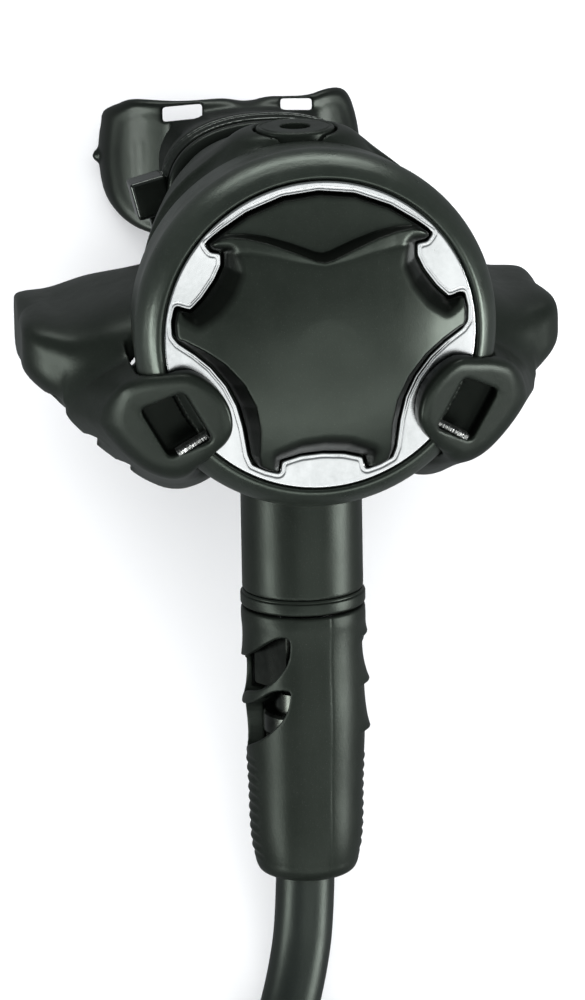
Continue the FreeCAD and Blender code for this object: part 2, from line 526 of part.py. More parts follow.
# ribbed sleeve over the hose end, with slanted slots
boot = doc.addObject("PartDesign::Body", "boot_blank")
boot_sk = outline(boot, "XY_Plane", [
    ("10.75", "-boot_top"), ("boot_rt - 0.4", "-boot_top"), ("boot_rt + 0.15", "-boot_top - 0.6"), ("boot_rt + 0.15", "-boot_top - 2.2"), ("boot_rt - 0.1", "-boot_top - 4"), ("boot_rt - 0.1", "-boot_top - 24"),
    ("boot_rt - 0.8", "-boot_top - 36"), ("boot_rb + 0.35", "-boot_low + 3.4"), ("boot_rb", "-boot_low + 1.4"), ("boot_rb - 1.1", "-boot_low + 0.25"), ("boot_rb - 2.4", "-boot_low"),
    ("hose_r + 0.06", "-boot_low"), ("hose_r + 0.06", "-boot_low + 8"), ("crimp_r + 0.1", "-shank_end - crimp_len - 1.5"), ("crimp_r + 0.1", "-shank_end + 1.5"), ("10.75", "-shank_end + 4"),
])
boot_rv = boot.newObject("PartDesign::Revolution", "boot_turn")
boot_rv.Profile = boot_sk
boot_rv.ReferenceAxis = (boot_sk, ["V_Axis"])
boot_rv.Angle = 360


def slant(side, u_low, height, angle_deg):
    """Slanted slot through one wall: a leaf shaped prism, turned about the hose axis."""
    leaf = [(-7.6, 1.6), (-3.5, 3.4), (2.0, 5.2), (7.2, 6.6), (7.8, 3.0), (7.2, -0.6), (3.6, -3.0), (-2.4, -5.3), (-7.4, -6.4), (-8.0, -2.2)]
    k = height / 13.0
    pts = [Vector(0.0, u_low + b * k, a) for a, b in leaf]
    s = Part.Face(Part.makePolygon(pts + [pts[0]])).extrude(Vector(20.0, 0, 0))
    s.rotate(Vector(0, 0, 0), Vector(0, 1, 0), angle_deg)
    return s


SLOTS = [slant(0, -70.9, 10.5, -150.0), slant(0, -81.3, 10.0, -150.0), slant(0, -70.9, 10.5, 30.0), slant(0, -81.3, 10.0, 30.0)]
boot_tool = feature("boot_slots", Part.makeCompound(SLOTS), Placement(), keep=False)
boot_cut = doc.addObject("Part::Cut", "hose_protector")
boot_cut.Label = "hose_protector"
boot_cut.Base = boot
boot_cut.Tool = boot_tool
boot_cut.Placement = POSE
PARTS.append(boot_cut)

# ---------------------------------------------------------------- mouthpiece
mu = V["port_u"]
m_secs = []
for f, a, b in ((-33.5, 20.0, 13.5), (-41.0, 20.0, 13.5), (-48.5, 19.8, 13.2), (-54.0, 18.0, 12.0), (-60.0, 17.2, 11.2), (-66.5, 18.0, 11.4)):
    m_secs.append(loop([(p, mu + q, f) for p, q in oval(a, b, 2.3)]))
mouth = loft(m_secs)
# curved flange: a band bent backwards at both ends, rounded in outline with a dip at the top middle
R1, cx_f = 27.0, -91.0
rad_o, rad_i = 33.0, 28.8
band = Part.makeCylinder(rad_o, 40, Vector(0, -4, -97.0), Vector(0, 1, 0)).cut(Part.makeCylinder(rad_i, 44, Vector(0, -6, -97.0), Vector(0, 1, 0)))
band = band.common(box(-40, 40, -10, 40, -85.5, -40))
shape_pts = [(0, 27.0), (5, 27.6), (12, 28.6), (19.5, 28.5), (24.8, 26.0), (26.6, 20.0), (26.6, 9.0), (25.2, 3.4), (20, 0.6), (12, 0.0), (5, 1.2), (0, 2.2)]
full = shape_pts + [(-x, u) for x, u in reversed(shape_pts[1:-1])]
edge = Part.Face(loop([(x, u, -95.0) for x, u in full])).extrude(Vector(0, 0, 60))
flange = band.common(edge)
tab_r = Part.makeBox(3.4, 9.0, 12.0, Vector(18.6, mu - 5.0, -80.0))
tab_r.Placement = Placement(Vector(0, 0, 0), Rotation()).multiply(tab_r.Placement)
mouth = mouth.fuse(flange).fuse(tab_r).fuse(mirror_x(tab_r))
bore_secs = []
for f, a, b in ((-32.0, 17.12, 10.62), (-47.3, 17.12, 10.62)):
    bore_secs.append(loop([(p, mu + q, f) for p, q in oval(a, b, 2.3)]))
mouth = mouth.cut(loft(bore_secs))
air = [loop([(p, mu + q, f) for p, q in oval(a, b, 2.3)]) for f, a, b in ((-46.0, 14.6, 8.3), (-56.0, 13.0, 7.4), (-74.0, 13.4, 7.6))]
mouth = mouth.cut(loft(air))
feature("mouthpiece", single(mouth))

# tie round the collar of the mouthpiece, with its square head low on one side
def band_of(a, b, f0, f1):
    return Part.Face(loop([(p, mu + q, f0) for p, q in oval(a, b, 2.3)])).extrude(Vector(0, 0, f1 - f0))


tie = band_of(V["mouth_a"] + V["band_th"], V["mouth_b"] + V["band_th"], -41.6, -41.6 + V["band_w"])
head = Part.makeBox(6.6, 7.6, 6.6, Vector(-3.6, -3.8, -3.3))
head.Placement = Placement(Vector(-23.2, mu - 1.0, -39.6), Rotation(Vector(0, 0, 1), 14))
tie = tie.fuse(head)
tie = tie.cut(band_of(V["mouth_a"] + 0.3, V["mouth_b"] + 0.3, -60, -20))
feature("mouthpiece_tie", single(tie))

# ---------------------------------------------------------------- hose on the table
def world(x, u, f):
    return POSE.multVec(Vector(x, u, f))


def tangent_route(points):
    """Straight runs joined by arcs; the arc takes 0.45 of the shorter run at each corner."""
    edges, at, radii, length = [], points[0], [], 0.0
    for k in range(1, len(points) - 1):
        a, b, c = points[k - 1], points[k], points[k + 1]
        d1, d2 = (b - a), (c - b)
        l1, l2 = d1.Length, d2.Length
        d1, d2 = Vector(d1).normalize(), Vector(d2).normalize()
        turn = math.acos(max(-1, min(1, d1.dot(d2))))
        cut = 0.45 * min(l1, l2)
        radii.append((round(cut / math.tan(turn / 2), 1), round(math.degrees(turn), 1)))
        p, q = b - d1 * cut, b + d2 * cut
        r = cut / math.tan(turn / 2)
        bis = Vector(d2 - d1).normalize()
        centre = b + bis * (r / math.cos(turn / 2))
        mid = centre - bis * r
        edges.append(Part.LineSegment(at, p).toShape())
        edges.append(Part.Arc(p, mid, q).toShape())
        length += (p - at).Length + r * turn
        at = q
    edges.append(Part.LineSegment(at, points[-1]).toShape())
    length += (points[-1] - at).Length
    return Part.Wire(edges), radii, length


def hose_tube(points):
    wire, radii, length = tangent_route(points)
    d = Vector(points[1] - points[0]).normalize()
    prof = Part.Wire([Part.makeCircle(V["hose_r"], points[0], d)])
    s = wire.makePipeShell([prof], True, False)
    s = s.Solids[0] if s.Solids else s
    print("tube: radii (mm, degrees)", radii, "length %.1f" % length, "volume ratio %.4f" % (s.Volume / (math.pi * V["hose_r"] ** 2 * length)))
    return s, length


SY = V["seat_y"]
CX, CY, CR = V["coil_x"], V["coil_y"], V["coil_r"]
ENTRY = math.radians(147.0)
entry = Vector(CX + CR * math.cos(ENTRY), CY + CR * math.sin(ENTRY), V["hose_r"] + 0.02)
back = Vector(math.sin(ENTRY), -math.cos(ENTRY), 0)
ROUTE = [world(0, -V["shank_end"] - 0.02, 0), world(0, -145.5, 0), entry]
ROUTE[1].z = max(ROUTE[1].z, V["hose_r"] + 1.0)
run, run_len = hose_tube(ROUTE)
feature("hose", run, Placement())

coil = Part.makeCylinder(CR + 6.5, V["coil_top"], Vector(CX, CY, 0)).cut(Part.makeCylinder(CR - 6.5, V["coil_top"] + 2, Vector(CX, CY, -1)))
TIE_AT = math.radians(250.0)
tie_place = Placement(Vector(CX, CY, 0), Rotation(Vector(0, 0, 1), 250.0))
strap = Part.makeBox(15.8, 16.0, 26.3, Vector(CR - 7.9, -8, 0)).cut(Part.makeBox(13.2, 20, 23.7, Vector(CR - 6.6, -10, 1.3)))
strap_block = Part.makeBox(15.8, 16.04, 26.3, Vector(CR - 7.9, -8.02, 0)).cut(Part.makeBox(13.1, 22, 23.6, Vector(CR - 6.55, -11, 1.35)))
strap_block.Placement = tie_place
feature("hose_coil", single(coil.cut(strap_block)), Placement())
feature("coil_tie", strap, tie_place)

TAIL = [Vector(CX + CR, CY + 1.0, 18.6), Vector(CX + CR + 2.0, CY + 34.0, 15.0), Vector(CX + CR + 2.6, CY + 62.0, 9.4), Vector(CX + CR + 2.8, CY + 88.0, 8.75)]
tail, tail_len = hose_tube(TAIL)
feature("hose_tail", tail, Placement())
end_dir = Vector(TAIL[-1] - TAIL[-2]).normalize()
end_place = Placement(TAIL[-1], Rotation(Vector(0, 1, 0), end_dir))

turned("end_sleeve", "u", [
    ("hose_r + 0.03", "-crimp_len"), ("crimp_r - 0.5", "-crimp_len"), ("crimp_r - 0.1", "-crimp_len + 0.5"), ("crimp_r - 0.1", "-16"), ("crimp_r - 0.6", "-15"), ("crimp_r - 0.6", "-5"),
    ("crimp_r - 0.1", "-4"), ("crimp_r - 0.1", "0"), ("hose_r + 0.03", "0"),
], end_place)

hexa = doc.addObject("Part::Prism", "end_hex")
hexa.Polygon = 6
hexa.setExpression("Circumradius", "Dims.end_af / 2 / cos(30)")
hexa.Height = 8.0
hexa.Placement = Placement(Vector(0, 2.0, 0), Rotation(Vector(1, 0, 0), -90))
stub = feature("end_stub", spun([(1.9, 0.02), (7.4, 0.02), (7.4, 2.0), (8.0, 2.0), (8.0, 10.0), (7.2, 10.4), (3.9, 10.4), (3.9, 12.0), (V["end_thread"], 12.3), (V["end_thread"], 10.4 + V["end_len"] - 0.8),
                             (V["end_thread"] - 0.8, 10.4 + V["end_len"]), (1.9, 10.4 + V["end_len"])], "u"), Placement(), keep=False)
hex_bore = feature("end_bore", cyl(3.0, -1, 30), Placement(), keep=False)
hexcut = doc.addObject("Part::Cut", "end_hexcut")
hexcut.Base = hexa
hexcut.Tool = hex_bore
fit = doc.addObject("Part::Fuse", "end_fitting")
fit.Label = "end_fitting"
fit.Base = hexcut
fit.Tool = stub
fit.Placement = end_place
PARTS.append(fit)
o_ring("fitting_seal", 4.75, 0.8, end_place.multiply(Placement(Vector(0, 11.22, 0), U_UP)))

# ---------------------------------------------------------------- checks and files
doc.recompute()
bad = [o.Name for o in doc.Objects if "Invalid" in o.State or "Error" in o.State]
if bad:
    raise RuntimeError("not built: " + ", ".join(bad))
for p in PARTS:
    s = p.Shape
    if s.isNull() or not s.isValid() or not s.Solids:
        raise RuntimeError("bad shape: " + p.Label)

os.makedirs("parts", exist_ok=True)
lo, hi = [1e9] * 3, [-1e9] * 3
CORD = ("hose", "hose_coil", "coil_tie", "hose_tail", "end_sleeve", "end_fitting", "fitting_seal")
for p in PARTS:
    s = p.Shape
    v = s.tessellate(0.05)[0]
    if p.Label not in CORD:
        for k in range(3):
            lo[k] = min(lo[k], min(q[k] for q in v))
            hi[k] = max(hi[k], max(q[k] for q in v))
    print("%-16s solids %d volume %9.1f z from %.2f" % (p.Label, len(s.Solids), s.Volume, min(q[2] for q in v)))
    s.exportStep("parts/" + p.Label + ".step")
print("deflector solids", TEE_SOLIDS)
print("box without the cord", [round(a, 3) for a in lo], [round(a, 3) for a in hi], "centre y %.3f" % ((lo[1] + hi[1]) / 2))
print("hose length %.1f" % (run_len + tail_len + CR * math.radians(360 + 213)))
print("route", [tuple(round(c, 2) for c in q) for q in ROUTE], [tuple(round(c, 2) for c in q) for q in TAIL])
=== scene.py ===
import math
import bpy
import numpy as np
from mathutils import Matrix, Vector

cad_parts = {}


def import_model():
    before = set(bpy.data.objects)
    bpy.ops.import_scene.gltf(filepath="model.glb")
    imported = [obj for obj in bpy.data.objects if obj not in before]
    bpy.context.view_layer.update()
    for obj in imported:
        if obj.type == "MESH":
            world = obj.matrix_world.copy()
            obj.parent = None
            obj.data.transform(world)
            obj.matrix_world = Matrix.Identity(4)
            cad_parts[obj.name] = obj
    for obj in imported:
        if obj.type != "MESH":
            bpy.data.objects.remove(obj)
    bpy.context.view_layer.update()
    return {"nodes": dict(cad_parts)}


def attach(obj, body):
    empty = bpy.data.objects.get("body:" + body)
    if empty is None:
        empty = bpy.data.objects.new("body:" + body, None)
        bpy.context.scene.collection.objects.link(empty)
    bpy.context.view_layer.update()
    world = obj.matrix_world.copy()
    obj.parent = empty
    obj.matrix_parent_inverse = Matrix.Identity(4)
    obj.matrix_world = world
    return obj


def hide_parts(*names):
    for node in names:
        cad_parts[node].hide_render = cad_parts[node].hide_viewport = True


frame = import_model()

# Second stage of a diving regulator with its low-pressure hose.
# Regulator frame in mm: x across, u up the valve axis (away from the hose), f out of the front face.
F32 = np.float32
TILT = math.radians(27.0)
CT, ST = math.cos(TILT), math.sin(TILT)
SEAT_Y, SEAT_Z = 24.45, 73.18


def world(p):
    """Regulator frame in mm to the row frame in metres."""
    p = np.asarray(p, float)
    x, u, f = p[..., 0], p[..., 1], p[..., 2]
    return np.stack([x, u * CT - f * ST + SEAT_Y, u * ST + f * CT + SEAT_Z], -1) * 0.001


def world_dir(p):
    p = np.asarray(p, float)
    x, u, f = p[..., 0], p[..., 1], p[..., 2]
    return np.stack([x, u * CT - f * ST, u * ST + f * CT], -1)


# ------------------------------------------------------------------ camera
scene = bpy.context.scene
AZ, EL, ROLL = math.radians(9.1), math.radians(13.2), math.radians(0.97)
right = np.array([math.cos(AZ), 0, math.sin(AZ)])
up = np.array([math.sin(AZ) * math.sin(EL), math.cos(EL), -math.cos(AZ) * math.sin(EL)])
back = np.array([-math.sin(AZ) * math.cos(EL), math.sin(EL), math.cos(AZ) * math.cos(EL)])
r2 = right * math.cos(ROLL) - up * math.sin(ROLL)
u2 = right * math.sin(ROLL) + up * math.cos(ROLL)
axes = Matrix([world_dir(r2).tolist(), world_dir(u2).tolist(), world_dir(back).tolist()]).transposed()
aim = axes @ Matrix.Rotation(-math.atan(195.9 / 7000), 3, "X") @ Matrix.Rotation(math.atan(5.4 / 7000), 3, "Y")
cam_data = bpy.data.cameras.new("camera")
cam = bpy.data.objects.new("camera", cam_data)
scene.collection.objects.link(cam)
scene.camera = cam
cam_data.lens = 252.0
cam_data.sensor_width = 36.0
cam_data.clip_start, cam_data.clip_end = 0.05, 20.0
cam.matrix_world = Matrix.Translation(Vector(world((0, 0, 0))) + Vector(world_dir(back)) * 1.4) @ aim.to_4x4()


# ------------------------------------------------------------------ materials
def nodes_of(m):
    m.use_nodes = True
    nt = m.node_tree
    nt.nodes.clear()
    out = nt.nodes.new("ShaderNodeOutputMaterial")
    bsdf = nt.nodes.new("ShaderNodeBsdfPrincipled")
    nt.links.new(bsdf.outputs["BSDF"], out.inputs["Surface"])
    tc = nt.nodes.new("ShaderNodeTexCoord")
    return nt, bsdf, tc


def noise(nt, vec, scale, detail=3.0, rough=0.5):
    n = nt.nodes.new("ShaderNodeTexNoise")
    n.inputs["Scale"].default_value = scale
    n.inputs["Detail"].default_value = detail
    n.inputs["Roughness"].default_value = rough
    nt.links.new(vec, n.inputs["Vector"])
    return n.outputs["Fac"]


def ramp(nt, fac, lo, hi, a, b):
    r = nt.nodes.new("ShaderNodeMapRange")
    r.inputs["From Min"].default_value = lo
    r.inputs["From Max"].default_value = hi
    r.inputs["To Min"].default_value = a
    r.inputs["To Max"].default_value = b
    nt.links.new(fac, r.inputs["Value"])
    return r.outputs["Result"]


def mix(nt, fac, a, b):
    m = nt.nodes.new("ShaderNodeMix")
    m.data_type = "RGBA"
    nt.links.new(fac, m.inputs["Factor"])
    for k, c in ((6, a), (7, b)):
        if isinstance(c, tuple):
            m.inputs[k].default_value = (*c, 1)
        else:
            nt.links.new(c, m.inputs[k])
    return m.outputs[2]


def stretched(nt, vec, sx, sy, sz):
    m = nt.nodes.new("ShaderNodeMapping")
    m.inputs["Scale"].default_value = (sx, sy, sz)
    nt.links.new(vec, m.inputs["Vector"])
    return m.outputs["Vector"]


def material(name, dark, light, rough, spread=0.08, metal=0.0, spec=0.5, grain=((2600, 3, 0.00002),), patch=70.0, coat=0.0, coat_rough=0.1,
             streak=None, specks=0.0, sheen=0.0, tint=(1, 1, 1), hollow=None, steep=None):
    """Moulded or machined surface: two tones in soft patches, uneven gloss, fine relief and optional streaks and pale
    specks; optional painted shade, near-black with weak gloss, on steep faces or inside a given box.
    """
    m = bpy.data.materials.new(name)
    nt, b, tc = nodes_of(m)
    vec = tc.outputs["Object"]
    big = noise(nt, vec, patch, 4.0, 0.55)
    fine = noise(nt, vec, 900.0, 3.0, 0.6)
    tone = mix(nt, ramp(nt, big, 0.3, 0.7, 0.0, 1.0), dark, light)
    tone = mix(nt, ramp(nt, fine, 0.35, 0.75, 0.0, 0.35), tone, light)
    if specks:
        dots = noise(nt, vec, 5200.0, 2.0, 0.5)
        tone = mix(nt, ramp(nt, dots, 0.66, 0.74, 0.0, specks), tone, tuple(min(1.0, c * 3 + 0.03) for c in light))
    nt.links.new(tone, b.inputs["Base Color"])
    scuff = noise(nt, stretched(nt, vec, 1.0, 0.35, 1.0), 240.0, 5.0, 0.65)
    nt.links.new(ramp(nt, scuff, 0.25, 0.75, rough - spread, rough + spread), b.inputs["Roughness"])
    b.inputs["Metallic"].default_value = metal
    b.inputs["Specular IOR Level"].default_value = spec
    b.inputs["Specular Tint"].default_value = (*tint, 1)
    b.inputs["Coat Weight"].default_value = coat
    b.inputs["Coat Roughness"].default_value = coat_rough
    b.inputs["Sheen Weight"].default_value = sheen
    # painted shade: faces leaning away from the given axis turn near-black and lose gloss, darkening the sloped walls
    if steep:
        wall_shade_lean = nt.nodes.new("ShaderNodeVectorMath")
        wall_shade_lean.operation = "DOT_PRODUCT"
        nt.links.new(tc.outputs["Normal"], wall_shade_lean.inputs[0])
        wall_shade_lean.inputs[1].default_value = steep[0]
        wall = ramp(nt, wall_shade_lean.outputs["Value"], steep[1], steep[2], 1.0, 0.0)
        nt.links.new(mix(nt, wall, tone, (0.0020, 0.0025, 0.0020)), b.inputs["Base Color"])
        nt.links.new(ramp(nt, wall, 0.0, 1.0, spec, steep[3]), b.inputs["Specular IOR Level"])
    # painted shade: inside the given box the colour turns near-black and the gloss weakens, darkening the recess
    if hollow:
        parts = nt.nodes.new("ShaderNodeSeparateXYZ")
        nt.links.new(vec, parts.inputs["Vector"])
        side = nt.nodes.new("ShaderNodeMath")
        side.operation = "ABSOLUTE"
        nt.links.new(parts.outputs["X"], side.inputs[0])
        back = nt.nodes.new("ShaderNodeCombineXYZ")
        nt.links.new(side.outputs[0], back.inputs["X"])
        nt.links.new(parts.outputs["Y"], back.inputs["Y"])
        nt.links.new(parts.outputs["Z"], back.inputs["Z"])
        inside = None
        for way, offset, lo, hi, flip in hollow:
            dot = nt.nodes.new("ShaderNodeVectorMath")
            dot.operation = "DOT_PRODUCT"
            nt.links.new(back.outputs["Vector"], dot.inputs[0])
            dot.inputs[1].default_value = way
            gap = nt.nodes.new("ShaderNodeMath")
            gap.operation = "SUBTRACT"
            nt.links.new(dot.outputs["Value"], gap.inputs[0])
            gap.inputs[1].default_value = offset
            last = gap.outputs[0]
            if flip:
                both = nt.nodes.new("ShaderNodeMath")
                both.operation = "ABSOLUTE"
                nt.links.new(last, both.inputs[0])
                last = both.outputs[0]
            part = ramp(nt, last, lo, hi, 1.0, 0.0)
            if inside is not None:
                times = nt.nodes.new("ShaderNodeMath")
                times.operation = "MULTIPLY"
                nt.links.new(inside, times.inputs[0])
                nt.links.new(part, times.inputs[1])
                part = times.outputs[0]
            inside = part
        nt.links.new(mix(nt, inside, tone, (0.0034, 0.0043, 0.0035)), b.inputs["Base Color"])
        nt.links.new(ramp(nt, inside, 0.0, 1.0, spec, 0.12), b.inputs["Specular IOR Level"])
    last = None
    layers = [(noise(nt, vec, s, d, 0.5), dist) for s, d, dist in grain]
    if streak:
        sx, sy, sz, scale, dist = streak
        layers.append((noise(nt, stretched(nt, vec, sx, sy, sz), scale, 4.0, 0.6), dist))
    for height, dist in layers:
        bump = nt.nodes.new("ShaderNodeBump")
        bump.inputs["Strength"].default_value = 1.0
        bump.inputs["Distance"].default_value = dist
        nt.links.new(height, bump.inputs["Height"])
        if last is not None:
            nt.links.new(last, bump.inputs["Normal"])
        last = bump.outputs["Normal"]
    nt.links.new(last, b.inputs["Normal"])
    return m


M = {}
M["plastic"] = material("moulded_black", (0.0050, 0.0066, 0.0052), (0.0088, 0.0110, 0.0090), 0.35, 0.05, spec=0.24, grain=((2400, 2, 0.000018), (700, 2, 0.000012)), specks=0.55, tint=(0.85, 1.0, 0.86))
# box of each lug pocket, inside which the deflector gets painted shade: near-black colour and weak gloss
SINK = math.atan(0.62)
POCKET = world(np.array([29.0, -16.3, 28.83]))
AXES = [world_dir(np.array(q)) for q in ((0.872, -0.489, 0.0), (0.489, 0.872, 0.0), (0.872 * math.sin(SINK), -0.489 * math.sin(SINK), math.cos(SINK)))]
M["deflector"] = material("deflector_black", (0.0050, 0.0066, 0.0052), (0.0088, 0.0110, 0.0090), 0.35, 0.05, spec=0.24, grain=((2400, 2, 0.000018), (700, 2, 0.000012)), specks=0.55, tint=(0.85, 1.0, 0.86),
                          hollow=[(tuple(d), float(np.dot(np.ravel(d), np.ravel(POCKET))), lo, hi, flip)
                                  for d, lo, hi, flip in ((np.ravel(AXES[0]), 0.0049, 0.0053, True), (np.ravel(AXES[1]), 0.0061, 0.0065, True), (np.ravel(AXES[2]), -0.0016, -0.0006, False))])
# the button's sloped walls get painted shade through the steep mask: near-black colour and weak gloss
M["button"] = material("button_black", (0.0058, 0.0076, 0.0060), (0.0105, 0.0130, 0.0106), 0.33, 0.05, spec=0.44, grain=((2800, 2, 0.000016), (800, 2, 0.00001)), specks=0.5, tint=(0.85, 1.0, 0.86),
                       steep=((0.0, -0.45399, 0.89101), 0.66, 0.90, 0.10))
M["bezel"] = material("bezel_black", (0.0060, 0.0080, 0.0064), (0.0112, 0.0140, 0.0114), 0.31, 0.06, spec=0.72, grain=((2100, 2, 0.000026), (650, 2, 0.000012)), specks=0.9, tint=(0.85, 1.0, 0.86))
M["plate"] = material("bright_plate", (0.44, 0.46, 0.46), (0.62, 0.64, 0.64), 0.22, 0.06, metal=1.0, grain=((3800, 2, 0.000003),), patch=25.0, streak=(1.0, 1.0, 1.0, 140.0, 0.00003))
M["strip"] = material("knurled_strip", (0.22, 0.23, 0.22), (0.85, 0.86, 0.84), 0.30, 0.12, metal=1.0, grain=((2600, 3, 0.00012),), patch=1400.0)
M["steel"] = material("spring_steel", (0.42, 0.43, 0.44), (0.60, 0.61, 0.62), 0.28, 0.08, metal=1.0, grain=((3000, 2, 0.000008),), streak=(1, 6, 1, 900.0, 0.000006))
M["brass"] = material("plated_metal", (0.55, 0.56, 0.56), (0.74, 0.75, 0.75), 0.20, 0.07, metal=1.0, grain=((2500, 2, 0.000006),), streak=(6, 1, 1, 700.0, 0.000006))
# plated metal whose colour is painted near-black as the shade inside the hose sleeve; its glints come from the metal
M["nickel_shaded"] = material("nickel_painted_shade", (0.030, 0.034, 0.030), (0.075, 0.082, 0.072), 0.24, 0.08, metal=1.0, grain=((2500, 2, 0.000006),), streak=(6, 1, 1, 700.0, 0.000006))
M["silicone"] = material("grey_silicone", (0.30, 0.31, 0.31), (0.42, 0.43, 0.43), 0.50, 0.07, grain=((1500, 2, 0.00002),), sheen=0.1)
M["mouth"] = material("mouth_silicone", (0.0022, 0.0029, 0.0024), (0.0044, 0.0054, 0.0046), 0.36, 0.06, spec=0.30, grain=((900, 2, 0.00001), (180, 2, 0.00003)), coat=0.06, coat_rough=0.10, tint=(0.85, 1.0, 0.86))
M["tie"] = material("tie_black", (0.003, 0.0036, 0.0032), (0.006, 0.007, 0.006), 0.20, 0.05, spec=0.55, grain=((1400, 2, 0.00001),), coat=0.5, coat_rough=0.06, tint=(0.85, 1.0, 0.87))
M["seal"] = material("seal_rubber", (0.010, 0.010, 0.010), (0.020, 0.020, 0.020), 0.48, 0.08, grain=((2200, 2, 0.00002),))
M["boot"] = material("boot_rubber", (0.0050, 0.0066, 0.0052), (0.0090, 0.0112, 0.0092), 0.37, 0.05, spec=0.20, grain=((2300, 2, 0.000022), (600, 2, 0.000014)), specks=0.6, tint=(0.85, 1.0, 0.86))
M["hose"] = material("hose_rubber", (0.0050, 0.0064, 0.0060), (0.0085, 0.0105, 0.0098), 0.36, 0.06, spec=0.32, grain=((2600, 2, 0.00002), (900, 3, 0.00002)), specks=0.35, tint=(0.85, 1.0, 0.86))
M["inner"] = material("inner_plastic", (0.05, 0.05, 0.052), (0.075, 0.075, 0.078), 0.45, 0.06, grain=((2400, 2, 0.00002),))
M["strap"] = material("strap_weave", (0.010, 0.010, 0.011), (0.024, 0.024, 0.025), 0.75, 0.08, spec=0.3, grain=((1700, 2, 0.00015), (4200, 2, 0.00005)), sheen=0.3)


def dress(o, key):
    o.data.materials.clear()
    o.data.materials.append(M[key])


def place(o, key, body, *stands_for):
    dress(o, key)
    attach(o, body)
    if stands_for:
        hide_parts(*stands_for)
    return o


# ------------------------------------------------------------------ hose, coil and free end
COIL = (27.7, -196.1)


def on_coil(deg, r, z):
    a = math.radians(deg)
    return (COIL[0] + r * math.cos(a), COIL[1] + r * math.sin(a), z)


ROUTE = [(0.0, -50.413, 35.036), (0.0, -86.035, 16.885), (-3.5, -104.9, 10.9), (-11.8, -125.1, 7.5), (-32.684, -156.886, 6.02)]
LAY = [(177, 74.6, 6.02), (207, 74.6, 6.25), (234, 74.6, 7.1), (262, 74.6, 7.1), (291, 74.6, 6.25), (321, 74.6, 6.02), (351, 74.6, 6.02), (381, 74.6, 6.4), (408, 74.6, 8.2),
       (433, 74.5, 11.4), (458, 74.4, 15.0), (482, 74.3, 17.9), (507, 74.3, 19.1), (537, 74.0, 18.75), (567, 73.9, 18.9), (594, 73.9, 19.45), (622, 73.9, 19.45), (651, 74.0, 18.9), (681, 74.2, 18.62), (706, 74.3, 18.6)]
TAIL = [(99.9, -180.0, 18.1), (101.7, -162.1, 15.0), (102.3, -134.1, 9.4), (102.5, -108.1, 8.75)]
line = ROUTE + [on_coil(*p) for p in LAY] + TAIL
curve_data = bpy.data.curves.new("hose", "CURVE")
curve_data.dimensions = "3D"
sp = curve_data.splines.new("NURBS")
sp.points.add(len(line) - 1)
for k, p in enumerate(line):
    sp.points[k].co = (p[0] * 0.001, p[1] * 0.001, p[2] * 0.001, 1)
sp.order_u = 3
sp.use_endpoint_u = True
sp.resolution_u = 16
curve_data.bevel_depth = 0.006
curve_data.bevel_resolution = 12
curve_data.use_fill_caps = True
hose = bpy.data.objects.new("hose_line", curve_data)
scene.collection.objects.link(hose)
place(hose, "hose", "hose_assembly", "hose", "hose_coil", "hose_tail")


# ------------------------------------------------------------------ solid fields and their skins
class Grid:
    """Points of a box at one pitch, as three arrays that broadcast."""

    def __init__(self, lo, hi, h):
        self.lo, self.h = np.array(lo, float), h
        n = [int(round((b - a) / h)) + 1 for a, b in zip(lo, hi)]
        self.x, self.u, self.f = [np.array(lo[k] + h * np.arange(n[k]), F32).reshape([-1 if j == k else 1 for j in range(3)]) for k in range(3)]
        self.R = np.sqrt(self.x ** 2 + self.u ** 2)
        self.T = np.sqrt(self.x ** 2 + self.f ** 2)


def smin(a, b, k):
    h = np.maximum(k - np.abs(a - b), 0) / k
    return np.minimum(a, b) - h * h * (k * 0.25)


def smax(a, b, k):
    return -smin(-a, -b, k)


def curve(w, keys, vals):
    """Smooth curve through the values at the keys."""
    k, v = np.asarray(keys, float), np.asarray(vals, float)
    m = np.gradient(v, k)
    w = np.clip(w, k[0], k[-1])
    i = np.clip(np.searchsorted(k, w, side="right") - 1, 0, len(k) - 2)
    h = k[i + 1] - k[i]
    t = (w - k[i]) / h
    out = (2 * t ** 3 - 3 * t ** 2 + 1) * v[i] + (t ** 3 - 2 * t ** 2 + t) * h * m[i] + (3 * t ** 2 - 2 * t ** 3) * v[i + 1] + (t ** 3 - t ** 2) * h * m[i + 1]
    return out.astype(F32)


def oval_d(p, q, a, b, power):
    """Distance to a rounded oval along the ray from its middle."""
    r = (np.abs(p / a) ** power + np.abs(q / b) ** power) ** F32(1.0 / power)
    m = np.sqrt(p * p + q * q + F32(0.01))
    return m - m / np.maximum(r, F32(0.01))


def box_d(p, q, w, a, b, c, r=0.0):
    """Distance to a box of half sizes a, b, c with edges rounded by r."""
    x, y, z = np.abs(p) - (a - r), np.abs(q) - (b - r), np.abs(w) - (c - r)
    inside = np.minimum(np.maximum(np.maximum(x, y), z), 0)
    return inside + np.sqrt(np.maximum(x, 0) ** 2 + np.maximum(y, 0) ** 2 + np.maximum(z, 0) ** 2) - r


def box2_d(p, q, a, b, r=0.0):
    x, y = np.abs(p) - (a - r), np.abs(q) - (b - r)
    return np.minimum(np.maximum(x, y), 0) + np.sqrt(np.maximum(x, 0) ** 2 + np.maximum(y, 0) ** 2) - r


def line_d(points, X, U):
    """Distance to an open line of straight pieces."""
    best = None
    for (ax, ay), (bx, by) in zip(points[:-1], points[1:]):
        ex, ey = bx - ax, by - ay
        t = np.clip(((X - ax) * ex + (U - ay) * ey) / (ex * ex + ey * ey), 0, 1)
        d = (X - ax - ex * t) ** 2 + (U - ay - ey * t) ** 2
        best = d if best is None else np.minimum(best, d)
    return np.sqrt(best)


